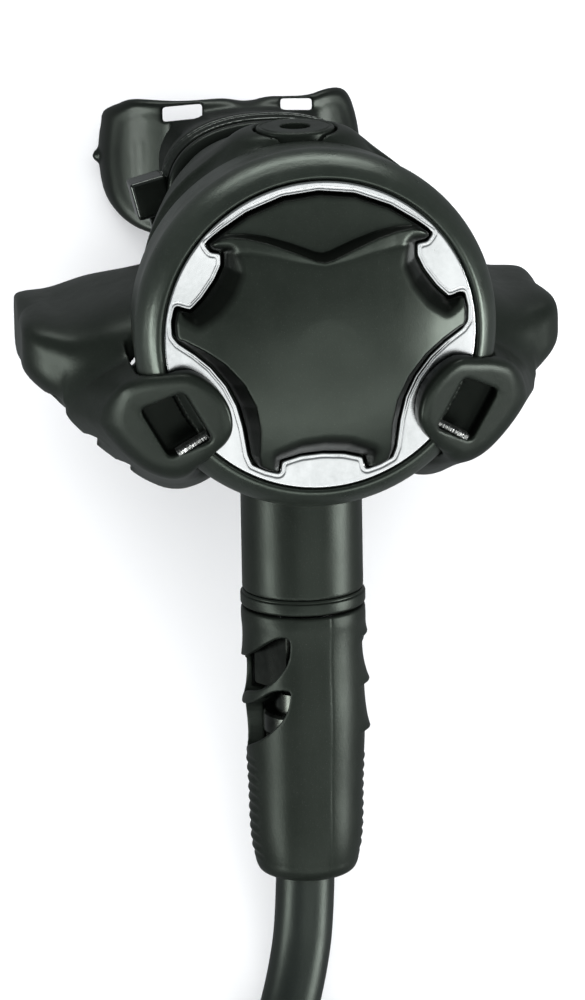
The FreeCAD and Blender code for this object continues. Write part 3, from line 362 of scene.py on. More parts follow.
def loop_d(points, X, U):
    """Signed distance to a closed outline, negative inside."""
    pts = list(points) + [points[0]]
    d = line_d(pts, X, U)
    inside = np.zeros(d.shape, bool)
    for (ax, ay), (bx, by) in zip(pts[:-1], pts[1:]):
        if ay != by:
            inside ^= ((ay <= U) != (by <= U)) & (X < ax + (U - ay) * (bx - ax) / (by - ay))
    return np.where(inside, -d, d)


def rounded_loop(points, n=6):
    """Closed curve through the points."""
    p = np.asarray(points, float)
    out = []
    for k in range(len(p)):
        a, b, c, d = p[k - 1], p[k], p[(k + 1) % len(p)], p[(k + 2) % len(p)]
        for j in range(n):
            t = j / n
            out.append(tuple(0.5 * ((2 * b) + (c - a) * t + (2 * a - 5 * b + 4 * c - d) * t * t + (3 * b - a - 3 * c + d) * t ** 3)))
    return out


def blur2(a, sigma):
    n = int(math.ceil(3 * sigma))
    k = np.exp(-0.5 * (np.arange(-n, n + 1) / sigma) ** 2)
    k /= k.sum()
    for axis in (0, 1):
        pad = [(0, 0)] * a.ndim
        pad[axis] = (n, n)
        b = np.pad(a, pad, mode="edge")
        out = np.zeros(a.shape, float)
        for j, w in enumerate(k):
            sl = [slice(None)] * a.ndim
            sl[axis] = slice(j, j + a.shape[axis])
            out += w * b[tuple(sl)]
        a = out
    return a.astype(F32)


def skin(v):
    """Vertices (in steps of the grid) and faces of the surface where the field is zero."""
    s = v < 0
    n0, n1, n2 = v.shape
    count = np.zeros((n0 - 1, n1 - 1, n2 - 1), np.uint8)
    for a in (0, 1):
        for b in (0, 1):
            for c in (0, 1):
                count += s[a:n0 - 1 + a, b:n1 - 1 + b, c:n2 - 1 + c]
    cells = np.argwhere((count > 0) & (count < 8))
    index = np.full(count.shape, -1, np.int32)
    index[tuple(cells.T)] = np.arange(len(cells))
    i, j, k = cells.T
    corner = {(a, b, c): v[i + a, j + b, k + c].astype(float) for a in (0, 1) for b in (0, 1) for c in (0, 1)}
    total, hits = np.zeros((len(cells), 3)), np.zeros(len(cells))
    for p in corner:
        for axis in range(3):
            if p[axis] == 0:
                q = tuple(1 if m == axis else p[m] for m in range(3))
                a, b = corner[p], corner[q]
                cross = (a < 0) != (b < 0)
                t = np.where(cross, a / np.where(cross, a - b, 1), 0)
                pos = np.tile(np.array(p, float), (len(cells), 1))
                pos[:, axis] += t
                total += np.where(cross[:, None], pos, 0)
                hits += cross
    verts = cells + total / hits[:, None]
    faces = []
    for axis in range(3):
        lo = [slice(1, -1)] * 3
        hi = [slice(1, -1)] * 3
        lo[axis], hi[axis] = slice(0, -1), slice(1, None)
        a, b = s[tuple(lo)], s[tuple(hi)]
        e = np.argwhere(a != b)
        out = a[tuple(e.T)]
        e = e + np.array([0 if m == axis else 1 for m in range(3)])
        p, q = (axis + 1) % 3, (axis + 2) % 3
        ring = []
        for dp, dq in ((-1, -1), (0, -1), (0, 0), (-1, 0)):
            c = e.copy()
            c[:, p] += dp
            c[:, q] += dq
            ring.append(index[tuple(c.T)])
        quad = np.stack(ring, 1)
        quad[~out] = quad[~out][:, ::-1]
        faces.append(quad)
    return verts, np.concatenate(faces)


def sampled(v, q):
    n = np.array(v.shape)
    q = np.clip(q, 0, n - 1.001)
    i = q.astype(int)
    t = q - i
    out = np.zeros(len(q))
    for a in (0, 1):
        for b in (0, 1):
            for c in (0, 1):
                w = (t[:, 0] if a else 1 - t[:, 0]) * (t[:, 1] if b else 1 - t[:, 1]) * (t[:, 2] if c else 1 - t[:, 2])
                out += w * v[i[:, 0] + a, i[:, 1] + b, i[:, 2] + c]
    return out


def carve(name, g, v, keep=1.0, reach=0.7):
    """Object for the region where v is negative, shaded with the field's own slope."""
    v = v.astype(F32)
    for axis in range(3):
        for end in (0, -1):
            sl = [slice(None)] * 3
            sl[axis] = end
            v[tuple(sl)] = np.maximum(v[tuple(sl)], g.h)
    verts, quads = skin(v)
    me = bpy.data.meshes.new(name)
    me.from_pydata(world(g.lo + verts * g.h).tolist(), [], quads.tolist())
    o = bpy.data.objects.new(name, me)
    scene.collection.objects.link(o)
    if keep < 1.0:
        d = o.modifiers.new("thin_out", "DECIMATE")
        d.ratio = keep
        dg = bpy.context.evaluated_depsgraph_get()
        thin = bpy.data.meshes.new_from_object(o.evaluated_get(dg))
        o.modifiers.clear()
        o.data = thin
        bpy.data.meshes.remove(me)
        thin.name = name
        me = thin
    me.polygons.foreach_set("use_smooth", [True] * len(me.polygons))
    co = np.zeros(len(me.vertices) * 3, F32)
    me.vertices.foreach_get("co", co)
    w = co.reshape(-1, 3).astype(float) * 1000.0
    x, y, z = w[:, 0], w[:, 1] - SEAT_Y, w[:, 2] - SEAT_Z
    q = (np.stack([x, y * CT + z * ST, z * CT - y * ST], -1) - g.lo) / g.h
    slope = np.stack([sampled(v, q + reach * d) - sampled(v, q - reach * d) for d in np.eye(3)], -1)
    slope /= np.maximum(np.linalg.norm(slope, axis=1), 1e-9)[:, None]
    me.normals_split_custom_set_from_vertices(world_dir(slope).astype(F32).tolist())
    print("%-18s %7d faces" % (name, len(me.polygons)))
    return o


def filleted(points, radius=0.3, n=4, closed=True):
    """Outline with its corners rounded; each point may carry its own radius."""
    out = []
    m = len(points)
    for k in range(m):
        p = np.array(points[k][:2], float)
        r = points[k][2] if len(points[k]) > 2 else radius
        if r <= 0 or (not closed and k in (0, m - 1)):
            out.append(tuple(p))
            continue
        a, b = np.array(points[k - 1][:2], float), np.array(points[(k + 1) % m][:2], float)
        da, db = a - p, b - p
        la, lb = np.linalg.norm(da), np.linalg.norm(db)
        c = min(r, 0.45 * la, 0.45 * lb)
        s, e = p + da / la * c, p + db / lb * c
        for j in range(n + 1):
            t = j / n
            out.append(tuple((1 - t) ** 2 * s + 2 * t * (1 - t) * p + t * t * e))
    return out


def turn(name, outline, axis, segments=192, closed=True, at=None, sharp=32.0):
    """Turned piece: outline in (radius, height), about the f or u axis, or about a placed axis."""
    pts = [(max(r, 0.0), h) for r, h in outline]
    rings, verts, faces = [], [], []
    for r, h in pts:
        if r < 1e-6:
            rings.append([len(verts)] * segments)
            verts.append((0.0, 0.0, h))
        else:
            rings.append(list(range(len(verts), len(verts) + segments)))
            for k in range(segments):
                a = 2 * math.pi * k / segments
                verts.append((r * math.cos(a), r * math.sin(a), h))
    pairs = list(zip(range(len(pts) - 1), range(1, len(pts)))) + ([(len(pts) - 1, 0)] if closed else [])
    for a, b in pairs:
        for k in range(segments):
            j = (k + 1) % segments
            f = [rings[a][k], rings[a][j], rings[b][j], rings[b][k]]
            f = [q for n, q in enumerate(f) if q not in f[:n]]
            if len(f) > 2:
                faces.append(f)
    p = np.array(verts)
    if at is None:
        p = world(p if axis == "f" else np.stack([p[:, 1], p[:, 2], p[:, 0]], -1))
    else:
        p = np.array([list(at @ Vector(q * 0.001)) for q in p])
    me = bpy.data.meshes.new(name)
    me.from_pydata(p.tolist(), [], faces)
    area = 0.0
    for k in range(len(pts) - (0 if closed else 1)):
        (r0, h0), (r1, h1) = pts[k], pts[(k + 1) % len(pts)]
        area += r0 * h1 - r1 * h0
    if area < 0:
        me.flip_normals()
    me.polygons.foreach_set("use_smooth", [True] * len(me.polygons))
    me.set_sharp_from_angle(angle=math.radians(sharp))
    o = bpy.data.objects.new(name, me)
    scene.collection.objects.link(o)
    return o


def band_between(t, lo, hi):
    t = np.clip((t - lo) / (hi - lo), 0, 1)
    return t * t * (3 - 2 * t)


# ------------------------------------------------------------------ button
HALF = [(0.0, 28.4), (7.0, 27.6), (14.0, 24.9), (18.8, 21.8), (22.0, 19.4), (21.2, 18.3), (18.9, 17.9),
        (18.9, 15.0), (20.3, 12.0), (22.8, 8.5), (25.5, 5.8), (28.3, 6.8), (28.9, 4.2), (28.8, 1.6), (27.9, 0.3),
        (24.6, -2.1), (21.4, -5.0), (18.4, -8.9), (16.3, -13.2), (15.1, -17.9), (14.3, -23.2), (13.6, -25.0),
        (11.2, -26.2), (8.9, -26.9), (8.6, -24.7), (4.4, -23.6), (0.0, -23.3)]
OUTLINE = HALF + [(-x, u) for x, u in reversed(HALF[1:-1])]


def dome_f(r2):
    return 37.4 - 58.0 + np.sqrt(np.maximum(58.0 ** 2 - r2, 1.0))


def button_top(x, u):
    """Height of the button's face over (x, u)."""
    ax = np.abs(x)
    low = line_d([(27.9, 0.3), (24.6, -2.1), (21.4, -5.0), (18.4, -8.9), (16.3, -13.2), (15.1, -17.9), (14.3, -23.2), (13.6, -25.0)], ax, u)
    win = line_d([(22.6, 19.2), (21.2, 18.3), (18.9, 17.9), (18.9, 15.0), (20.3, 12.0), (22.8, 8.5), (25.5, 5.8), (26.8, 6.2)], ax, u)
    tip = line_d([(28.4, 7.6), (28.9, 4.2), (28.8, 1.0)], ax, u)
    bot = line_d([(8.9, -25.9), (8.6, -24.7), (4.4, -23.6), (0.0, -23.3)], ax, u)
    top = line_d([(0.0, 28.4), (7.0, 27.6), (14.0, 24.9), (18.8, 21.8), (22.0, 19.4)], ax, u)
    foot = line_d([(13.0, -25.6), (11.2, -26.2), (8.9, -26.9)], ax, u)
    dome = dome_f(x * x + (u + 1.0) ** 2)
    ridge_u = np.interp(ax, (0.0, 1.5, 6.0, 11.0, 15.0, 18.0, 20.5, 23.0), (16.1, 16.4, 18.3, 20.1, 21.0, 21.2, 20.6, 19.6))
    low_u = np.interp(ax, (0.0, 5.3, 9.6, 14.4, 17.2, 23.0), (15.6, 16.5, 17.5, 18.2, 18.2, 18.0))
    wide = np.maximum(ridge_u - low_u, 0.3)
    t = u - ridge_u
    rise = 0.12 + 0.30 * wide
    ridge_h = dome_f(x * x + (ridge_u + 1.0) ** 2) + rise
    dish = 29.3 + 0.13 * top
    h_low = dome + rise * np.clip((u - low_u) / wide, 0, 1) - 0.12 * np.exp(-((u - low_u) / 0.7) ** 2)
    h_up = smax(dish, ridge_h - 4.0 * t, 1.2)
    h = np.where(t < 0, h_low, h_up)
    h = np.where(t < 0.4, smin(h, 28.2 + 2.5 * low, 0.4), h)
    h = np.where(t < 0.4, smin(h, 28.2 + 2.0 * win, 3.0), h)
    h = smin(h, 29.9 + 0.62 * tip, 1.6)
    h = np.where(u < 0, smin(h, 28.2 + 1.75 * bot, 2.4), h)
    h = np.where(u < 0, smin(h, 30.2 + 0.75 * foot, 1.2), h)
    return h


g = Grid((-30.5, -28.5, 15.25), (30.5, 30.5, 37.25), 0.25)
X2, U2 = g.x[:, :, 0] + 0 * g.u[:, :, 0], g.u[:, :, 0] + 0 * g.x[:, :, 0]
rim = blur2(loop_d(OUTLINE, X2, U2), 1.1)[:, :, None]
top = blur2(button_top(X2.astype(float), U2.astype(float)), 0.5)
gx, gu = np.gradient(top, g.h)
steep = np.sqrt(1 + gx ** 2 + gu ** 2)[:, :, None].astype(F32)
v = smax(rim, (g.f - top[:, :, None]) / steep, 0.7)
v = np.maximum(v, 23.4 - g.f)
flange = np.maximum(g.R - 29.4, np.abs(g.f - 23.9) - 1.0)
stem = np.maximum(g.R - 5.0, np.abs(g.f - 19.6) - 4.0)
v = np.minimum(np.minimum(v, flange), stem)
place(carve("button_cap", g, v, 0.62), "button", "button", "purge_button")

# ------------------------------------------------------------------ bright plate
g = Grid((-31.8, -31.8, 24.9), (31.8, 31.8, 28.1), 0.2)
X2, U2 = g.x[:, :, 0] + 0 * g.u[:, :, 0], g.u[:, :, 0] + 0 * g.x[:, :, 0]
hole = blur2(loop_d(OUTLINE, X2, U2), 1.3)
hole = (hole - 0.42)[:, :, None]
face = 26.95 + 0.0007 * g.R ** 2 - 0.09 * np.exp(-((hole - 0.85) / 0.22) ** 2)
v = smax(g.f - face, -hole, 0.45)
v = smax(v, g.R - 31.0, 0.5)
v = np.maximum(v, 25.35 - g.f)
ax = np.abs(g.x)
v = np.maximum(v, -box2_d((ax - 29.0) * 0.872 + (g.u + 16.3) * -0.489, (ax - 29.0) * 0.489 + (g.u + 16.3) * 0.872, 5.45, 6.65, 1.4))
place(carve("plate_ring", g, v, 0.8), "plate", "second_stage", "trim_plate")

# ------------------------------------------------------------------ bezel
LUG_DIR = (0.872, -0.489)
LUG_MID = (29.0, -16.3)
bezel = turn("bezel", filleted([
    (34.1, 8.0, 0.2), (34.9, 8.0, 0.35), (35.2, 14.0, 2.0), (35.9, 18.6, 2.0), (36.25, 21.0, 1.5), (35.95, 22.9, 1.4), (35.1, 24.8, 1.6), (33.7, 26.7, 1.6), (32.5, 27.7, 0.9),
    (31.75, 27.95, 0.35), (31.3, 27.35, 0.35), (31.3, 25.3, 0.1), (29.9, 25.3, 0.15), (29.9, 18.1, 0.15), (32.45, 18.1, 0.1), (32.45, 13.97, 0.1), (34.1, 13.97, 0.15)], 0.3, 5), "f", 288)


def lug_axes(side):
    """Unit vectors along and across a lug pocket, and its middle, in the regulator frame."""
    a = np.array([side * LUG_DIR[0], LUG_DIR[1], 0.0])
    return a, np.array([-a[1] * side, a[0] * side, 0.0]), np.array([side * LUG_MID[0], LUG_MID[1], 0.0])


def block(name, mid, ex, ey, ez, a, b, c):
    verts = [mid + sx * a * ex + sy * b * ey + sz * c * ez for sx in (-1, 1) for sy in (-1, 1) for sz in (-1, 1)]
    me = bpy.data.meshes.new(name)
    me.from_pydata(world(verts).tolist(), [], [(0, 1, 3, 2), (4, 6, 7, 5), (0, 4, 5, 1), (2, 3, 7, 6), (0, 2, 6, 4), (1, 5, 7, 3)])
    if np.dot(np.cross(ex, ey), ez) < 0:
        me.flip_normals()
    o = bpy.data.objects.new(name, me)
    scene.collection.objects.link(o)
    return o


for side in (1, -1):
    a, b, mid = lug_axes(side)
    tool = block("pocket_tool", mid + np.array([0, 0, 29.9]), a, b, np.array([0, 0, 1.0]), 5.45, 6.65, 9.6)
    m = bezel.modifiers.new("pocket", "BOOLEAN")
    m.operation = "DIFFERENCE"
    m.solver = "EXACT"
    m.object = tool
    dg = bpy.context.evaluated_depsgraph_get()
    cut = bpy.data.meshes.new_from_object(bezel.evaluated_get(dg))
    bezel.modifiers.clear()
    bezel.data = cut
    bpy.data.objects.remove(tool)
place(bezel, "bezel", "second_stage", "cover_ring")

# ------------------------------------------------------------------ exhaust deflector
WING = np.array([(22.0, -33.5, 6.4, -34.0, 12.5), (30.0, -31.5, 3.6, -39.5, 12.0), (38.0, -27.0, 0.9, -45.0, 8.6),
                 (46.0, -21.2, -2.1, -46.0, 2.8), (50.6, -17.6, -2.2, -43.0, -1.6), (55.0, -14.2, -2.4, -38.0, -5.5)])
LUG = [(39.6, -9.4), (35.4, -6.8), (30.6, -5.7), (26.5, -5.2), (22.6, -7.4), (19.5, -11.3), (18.4, -15.9), (19.3, -19.5),
       (21.6, -22.3), (24.0, -25.0), (28.4, -27.4), (33.6, -26.0), (38.4, -20.6), (40.8, -14.8)]
LUG_LOW = [(39.8, -8.6), (36.0, -6.6), (31.2, -5.9), (26.5, -5.2), (22.0, -7.0), (19.0, -11.3), (18.0, -15.9), (18.8, -19.5),
           (18.9, -26.0), (18.6, -33.0), (22.6, -35.9), (27.4, -36.0), (32.4, -33.6), (36.2, -30.6), (43.0, -24.8), (48.0, -18.4), (45.0, -12.0)]


def bowl_d(g, grow=0.0):
    r, deep, rr = 33.9 + grow, 22.0 + grow, 17.0
    p, q = g.R - (r - rr) + 0.17 * np.maximum(8.0 - g.f, 0), -g.f - (deep - rr)
    d = np.minimum(np.maximum(p, q), 0) + np.sqrt(np.maximum(p, 0) ** 2 + np.maximum(q, 0) ** 2) - rr
    return np.maximum(d, g.f - 14.2)


def hump_d(g, grow=0.0):
    u = g.u[0, :, 0]
    keys = (8.0, 20.0, 28.0, 33.0, 35.0, 36.2)
    a = curve(u, keys, (26.0, 22.6, 17.6, 13.8, 11.4, 9.0))[None, :, None] + F32(grow)
    f0 = curve(u, keys, (-20.0, -20.0, -17.5, -13.0, -10.8, -8.6))[None, :, None]
    f1 = curve(u, keys, (11.0, 10.5, 9.0, 8.4, 8.2, 7.9))[None, :, None]
    d = oval_d(g.x, g.f - (f0 + f1) / 2, a, (f1 - f0) / 2 + F32(grow), 2.1)
    return smax(smax(d, g.u - (36.0 + grow), 0.8), 8.0 - g.u, 1.0)


def neck_d(g, inset=0.0):
    f = g.f[0, 0, :]
    keys = (-33.2, -27.0, -20.0, -12.0, -2.0)
    uc = curve(f, keys, (16.0, 15.6, 13.6, 10.5, 8.0))[None, None, :]
    a = curve(f, keys, (19.0, 20.6, 23.4, 26.8, 29.6))[None, None, :] - F32(inset)
    b = curve(f, keys, (12.6, 14.6, 18.0, 22.5, 25.0))[None, None, :] - F32(inset)
    return smax(smax(oval_d(g.x, g.u - uc, a, b, 2.25), -33.2 - g.f, 0.8), g.f + 2.0, 0.8)


g = Grid((-56.2, -39.6, -54.0), (56.2, 9.0, 35.1), 0.45)
ax = np.abs(g.x)
xs = ax[:, 0, 0]
u0, u1, f0, f1 = [curve(xs, WING[:, 0], WING[:, k])[:, None, None] for k in (1, 2, 3, 4)]
wing = oval_d(g.u - (u0 + u1) / 2, g.f - (f0 + f1) / 2, (u1 - u0) / 2, (f1 - f0) / 2, 3.6)
wing = smax(wing, ax - 54.3 - 0.07 * (g.f + 14.0), 1.0 + 3.4 * np.clip((g.f + 38.0) / 16.0, 0, 1))
X2, U2 = ax[:, :, 0] + 0 * g.u[:, :, 0], g.u[:, :, 0] + 0 * ax[:, :, 0]
hi2 = blur2(loop_d(rounded_loop(LUG, 4), X2, U2), 0.8)[:, :, None]
lo2 = blur2(loop_d(rounded_loop(LUG_LOW, 4), X2, U2), 1.2)[:, :, None]
t = np.clip((g.f - 2.0) / 25.0, 0, 1)
lug = lo2 * (1 - t) + hi2 * t + np.maximum(2.0 - g.f, 0) * F32(0.42)
s = math.atan(0.62)
cap = (ax - 24.0 * LUG_DIR[0]) * LUG_DIR[0] * math.sin(s) + (g.u - 24.0 * LUG_DIR[1]) * LUG_DIR[1] * math.sin(s) + (g.f - 34.6) * math.cos(s)
lug = smax(lug, cap, 2.6)
ring_env = np.maximum(g.R - (36.45 - 0.55 * np.clip((g.f - 21.3) / 2.7, 0, 1) - 3.3 * np.clip((g.f - 24.0) / 4.1, 0, 1) ** 1.3), np.maximum(g.f - 28.2, 7.8 - g.f))
outer = smin(wing, lug, 4.0)
# scalloped lower edge: three notches
for nx, nu, nf, deep in ((48.9, -18.3, -1.0, 1.4), (42.6, -24.7, 3.0, 1.5), (36.1, -30.3, 5.0, 1.5)):
    outer = smax(outer, deep - np.sqrt((ax - nx) ** 2 + (g.u - nu) ** 2 + (np.maximum(np.abs(g.f - nf) - 9.0, 0) * 0.5) ** 2), 0.5)
duct = np.maximum(oval_d(g.x, g.u + 15.5, 27.0, 15.0, 4.0), np.abs(g.f + 25.0) - 9.0)
outer = smin(outer, duct, 2.0)
iu0, iu1, if0, if1 = u0 + 2, u1 - 2, f0 + 2, f1 - 2
inner = oval_d(g.u - (iu0 + iu1) / 2, g.f - (if0 + if1) / 2, (iu1 - iu0) / 2, (if1 - if0) / 2, 2.9)
inner = np.maximum(np.maximum(inner, ax - 51.6), 24.5 - ax)
duct_in = np.maximum(oval_d(g.x, g.u + 15.5, 28.5, 12.8, 4.0), np.abs(g.f + 25.8) - 6.0)
out1 = box_d(ax - 38.5, g.u + 14.0, g.f + 47.0, 10.5, 6.0, 15.0, 1.2)
out2 = box_d(ax - 41.0, g.u + 27.0, g.f + 28.0, 8.0, 15.0, 8.0, 1.2)
fins = np.minimum(np.minimum(np.abs(ax - 34.6), np.abs(ax - 39.6)), np.abs(ax - 44.6)) - F32(0.6)
hollow = np.minimum(inner, duct_in)
windows = np.maximum(np.minimum(out1, out2), -np.maximum(fins, -6.0 - np.minimum(wing, 0)))
hollow = np.minimum(hollow, windows)
v = smax(outer, -hollow, 0.6)
keep_off = smin(bowl_d(g, 0.15), neck_d(g, -0.15), 2.5)
keep_off = smin(keep_off, np.maximum(g.T - 12.4, g.u - 4.0), 2.0)
keep_off = np.minimum(keep_off, np.maximum(oval_d(g.x, g.u - 16.0, 19.6, 13.1, 2.3), g.f + 30.0))
v = np.maximum(v, -keep_off)
v = np.maximum(v, -ring_env)
la = (ax - LUG_MID[0]) * LUG_DIR[0] + (g.u - LUG_MID[1]) * LUG_DIR[1]
lb = -(ax - LUG_MID[0]) * LUG_DIR[1] + (g.u - LUG_MID[1]) * LUG_DIR[0]
liner = np.maximum(np.maximum(box2_d(la, lb, 5.4, 6.6, 1.6), np.where(g.R < 30.1, 25.4, 20.5) - g.f), cap + 0.6)
v = np.minimum(v, liner)
well = smax(box2_d(la, lb, 4.6, 5.8, 1.3), np.where(g.R < 30.9, 26.2, 21.3) - g.f, 0.6)
v = smax(v, -well, 0.55)
place(carve("deflector", g, v, 0.42), "deflector", "second_stage", "exhaust_tee")


# bright serrated strips low in the pockets
def strip(side):
    a, b, mid = lug_axes(side)
    verts, faces, n = [], [], 26
    for k in range(n + 1):
        s = -4.35 + 7.1 * k / n
        rise = 0.0 if k in (0, n) else (0.32 if k % 2 else 0.0) + 0.1 * math.sin(k * 2.3)
        for q, h in ((-5.75, 26.0), (-5.75, 28.55), (-5.45, 28.9 + rise), (-4.75, 29.0 + rise), (-4.45, 28.6), (-4.45, 26.0)):
            verts.append(mid + s * a + q * b + np.array([0, 0, h]))
    for k in range(n):
        for j in range(6):
            i = (j + 1) % 6
            faces.append((k * 6 + j, k * 6 + i, k * 6 + 6 + i, k * 6 + 6 + j)[::side])
    faces.append(tuple(range(5, -1, -1))[::side])
    faces.append(tuple(range(n * 6, n * 6 + 6))[::side])
    return verts, faces


va, fa = strip(1)
vb, fb = strip(-1)
me = bpy.data.meshes.new("pocket_strips")
me.from_pydata(world(np.array(va + vb)).tolist(), [], fa + [tuple(i + len(va) for i in f) for f in fb])
strips = bpy.data.objects.new("pocket_strips", me)
scene.collection.objects.link(strips)
bev = strips.modifiers.new("edge", "BEVEL")
bev.width = 0.00006
bev.segments = 2
place(strips, "strip", "second_stage", "lug_insert")

# ------------------------------------------------------------------ case
g = Grid((-35.7, -59.9, -48.6), (35.7, 37.3, 15.3), 0.45)
v = smin(bowl_d(g), hump_d(g), 3.0)
v = smin(v, neck_d(g), 3.0)
v = smin(v, smax(g.T - 12.25, g.u - 5.0, 0.5), 2.5)
port = np.maximum(oval_d(g.x, g.u - 16.0, 17.0, 10.5, 2.3), np.maximum(-47.0 - g.f, g.f + 30.0))
v = np.minimum(v, port)
v = smax(v, -58.4 - g.u, 0.5)
v = np.maximum(v, g.f - 13.9)
v = smax(v, -np.maximum(np.maximum(33.95 - g.R, g.R - 36.6), 7.9 - g.f), 1.2)
cavity = np.minimum(bowl_d(g, -2.5), neck_d(g, 2.3))
cavity = np.minimum(cavity, np.maximum(oval_d(g.x, g.u - 16.0, 15.0, 8.5, 2.3), g.f + 28.0))
cavity = np.minimum(cavity, g.T - 7.15)
cavity = np.minimum(cavity, np.maximum(g.T - 8.4, 33.0 - g.u))
v = smax(v, -cavity, 0.4)
place(carve("case", g, v, 0.36), "plastic", "second_stage", "case_shell")

# lower end of the inlet tube, with a fine groove, and the end plug on top
place(turn("lip", filleted([(7.2, -58.42, 0.1), (12.15, -58.42, 0.1), (12.3, -58.75, 0.1), (12.3, -58.95, 0.05), (12.65, -59.15, 0.15), (12.65, -61.2, 0.35), (12.2, -61.55, 0.3), (7.2, -61.55, 0.1)], 0.2, 3), "u", 160),
      "plastic", "second_stage", "inlet_lip")
g = Grid((-9.2, 23.4, -9.2), (9.2, 37.2, 9.2), 0.2)
v = np.maximum(smax(g.T - 7.85, g.u - 36.4, 0.7), 33.1 - g.u)
shank = np.maximum(np.maximum(g.T - 5.95, np.abs(g.u - 28.6) - 4.6), 2.6 - np.maximum(g.T, (g.u - 29.0) * 9))
v = np.minimum(v, shank)
v = smax(v, -np.maximum(g.T - 3.0, 34.7 - g.u), 0.35)
v = smax(v, -np.maximum(np.abs(g.T - 6.9) - 0.22, 36.2 - g.u), 0.2)
place(carve("end_plug", g, v, 0.6), "plastic", "second_stage", "top_plug")

# ------------------------------------------------------------------ mouthpiece
g = Grid((-31.2, -3.2, -89.2), (29.6, 31.2, -32.4), 0.4)
collar = smax(oval_d(g.x, g.u - 16.0, 20.0, 13.5, 2.3), np.abs(g.f + 41.0) - 7.5, 1.2)
for rf, rg, rw in ((-34.9, 0.9, 1.3), (-43.9, 0.9, 1.2)):
    collar = smin(collar, smax(oval_d(g.x, g.u - 16.0, 20.0 + rg, 13.5 + rg, 2.3), np.abs(g.f - rf) - rw, 1.2), 0.5)
fl = g.f[0, 0, :]
keys = (-66.5, -60.0, -54.0, -48.5, -44.0)
fa_ = curve(fl, keys, (18.2, 17.2, 18.0, 19.8, 20.0))[None, None, :]
fb_ = curve(fl, keys, (11.6, 11.2, 12.0, 13.2, 13.5))[None, None, :]
funnel = np.maximum(oval_d(g.x, g.u - 16.0, fa_, fb_, 2.3), np.abs(g.f + 55.0) - 11.8)
EDGE = [(-27.9, 21.0), (-27.3, 24.2), (-24.8, 26.4), (-21.7, 28.0), (-14.3, 28.3), (-7.0, 28.7), (-3.6, 28.5), (-1.2, 27.5), (0.6, 27.2), (2.6, 27.6), (5.2, 28.6), (9.5, 28.5), (14.4, 28.3),
        (18.2, 28.8), (21.6, 28.3), (23.8, 26.4), (25.4, 22.5), (26.6, 17.0), (26.9, 11.0), (26.2, 6.4), (24.4, 2.9), (21.0, 0.6), (16.5, -0.5), (11.5, -0.2), (5.6, 1.0),
        (0.0, 2.0), (-5.6, 1.0), (-11.5, -0.2), (-17.0, -0.6), (-21.9, 0.5), (-25.3, 2.9), (-27.4, 6.4), (-28.2, 11.0), (-28.4, 16.0)]
X2, U2 = g.x[:, :, 0] + 0 * g.u[:, :, 0], g.u[:, :, 0] + 0 * g.x[:, :, 0]
edge = blur2(loop_d(rounded_loop(EDGE, 3), X2, U2), 0.7)[:, :, None]
rho = np.sqrt(g.x ** 2 + (g.f + 97.0) ** 2)
thick = np.abs(rho - (30.9 + 0.35 * band_between(-edge, 0.0, 4.0))) - (1.15 + 0.35 * band_between(3.0 + edge, 0.0, 2.4))
flange = smax(thick, edge, 1.8)
flange = np.maximum(flange, -89.0 - g.f)
body = smin(smin(collar, funnel, 1.5), flange, 3.0)
bx, bu = g.x + 0.16 * (g.f + 68.5), g.u - 0.237 * (g.f + 68.5)
slit = np.minimum(box2_d(bx + 12.7, bu - 25.9 - 0.03 * (bx + 12.7), 4.2, 1.55, 0.5), box2_d(bx - 11.3, bu - 26.5 + 0.03 * (bx - 11.3), 3.3, 1.25, 0.4))
slit = np.maximum(slit, np.abs(g.f + 69.0) - 5.0)
body = smax(body, -slit, 0.4)
for side in (1, -1):
    arm = box_d(g.x - side * 19.4, g.u - 15.5, g.f + 79.5, 1.8, 4.6, 6.6, 1.4)
    knob = box_d(g.x - side * 19.4, g.u - 15.7, g.f + 84.4, 2.6, 5.5, 1.9, 1.5)
    ribs = 0.25 * np.cos(g.f * 2.6)
    body = smin(body, smin(arm + np.where(np.abs(g.f + 79.5) < 5.0, ribs, 0).astype(F32), knob, 1.2), 1.4)
nub = np.sqrt((g.x + 28.4) ** 2 + (g.u - 14.3) ** 2 + (g.f + 84.6) ** 2) - 1.25
body = smin(body, nub, 1.0)
bore = np.maximum(oval_d(g.x, g.u - 16.0, 17.1, 10.6, 2.3), np.maximum(-47.3 - g.f, -90.0 + 0 * g.f))
keys = (-76.0, -66.0, -56.0, -46.0)
aa = curve(fl, keys, (13.8, 13.2, 13.0, 14.6))[None, None, :]
ab = curve(fl, keys, (7.8, 7.5, 7.4, 8.3))[None, None, :]
air = np.maximum(oval_d(g.x, g.u - 16.0, aa, ab, 2.3), g.f + 44.0)
body = smax(body, -np.minimum(bore, air), 0.6)
place(carve("mouthpiece_soft", g, body, 0.55), "mouth", "second_stage", "mouthpiece")

# tie round the collar, with its square head low on the left
g = Grid((-31.0, 0.0, -47.0), (23.8, 32.4, -33.2), 0.3)
ring = smax(oval_d(g.x, g.u - 16.0, 21.1, 14.6, 2.3) + 0.45 * np.cos((g.f + 39.6) * 4.2), np.abs(g.f + 39.6) - 2.1, 0.6)
teeth = 0.10 * np.cos(np.arctan2(g.u - 16.0, g.x) * 88.0) * np.maximum(0, 1 - np.abs(g.f + 39.6) / 1.3)
ring = ring + teeth.astype(F32)
ca, sa = math.cos(math.radians(14)), math.sin(math.radians(14))
hx, hu = (g.x + 24.0) * ca + (g.u - 15.2) * sa, -(g.x + 24.0) * sa + (g.u - 15.2) * ca
head = box_d(hx, hu, g.f + 38.9, 3.7, 4.0, 3.3, 0.7)
head = smax(head, -box_d(hx, hu + 4.4, g.f + 38.9, 2.2, 1.4, 1.5, 0.2), 0.2)
tail = box_d(hx + 0.6, hu + 5.6, g.f + 38.9, 0.8, 2.6, 1.7, 0.4)
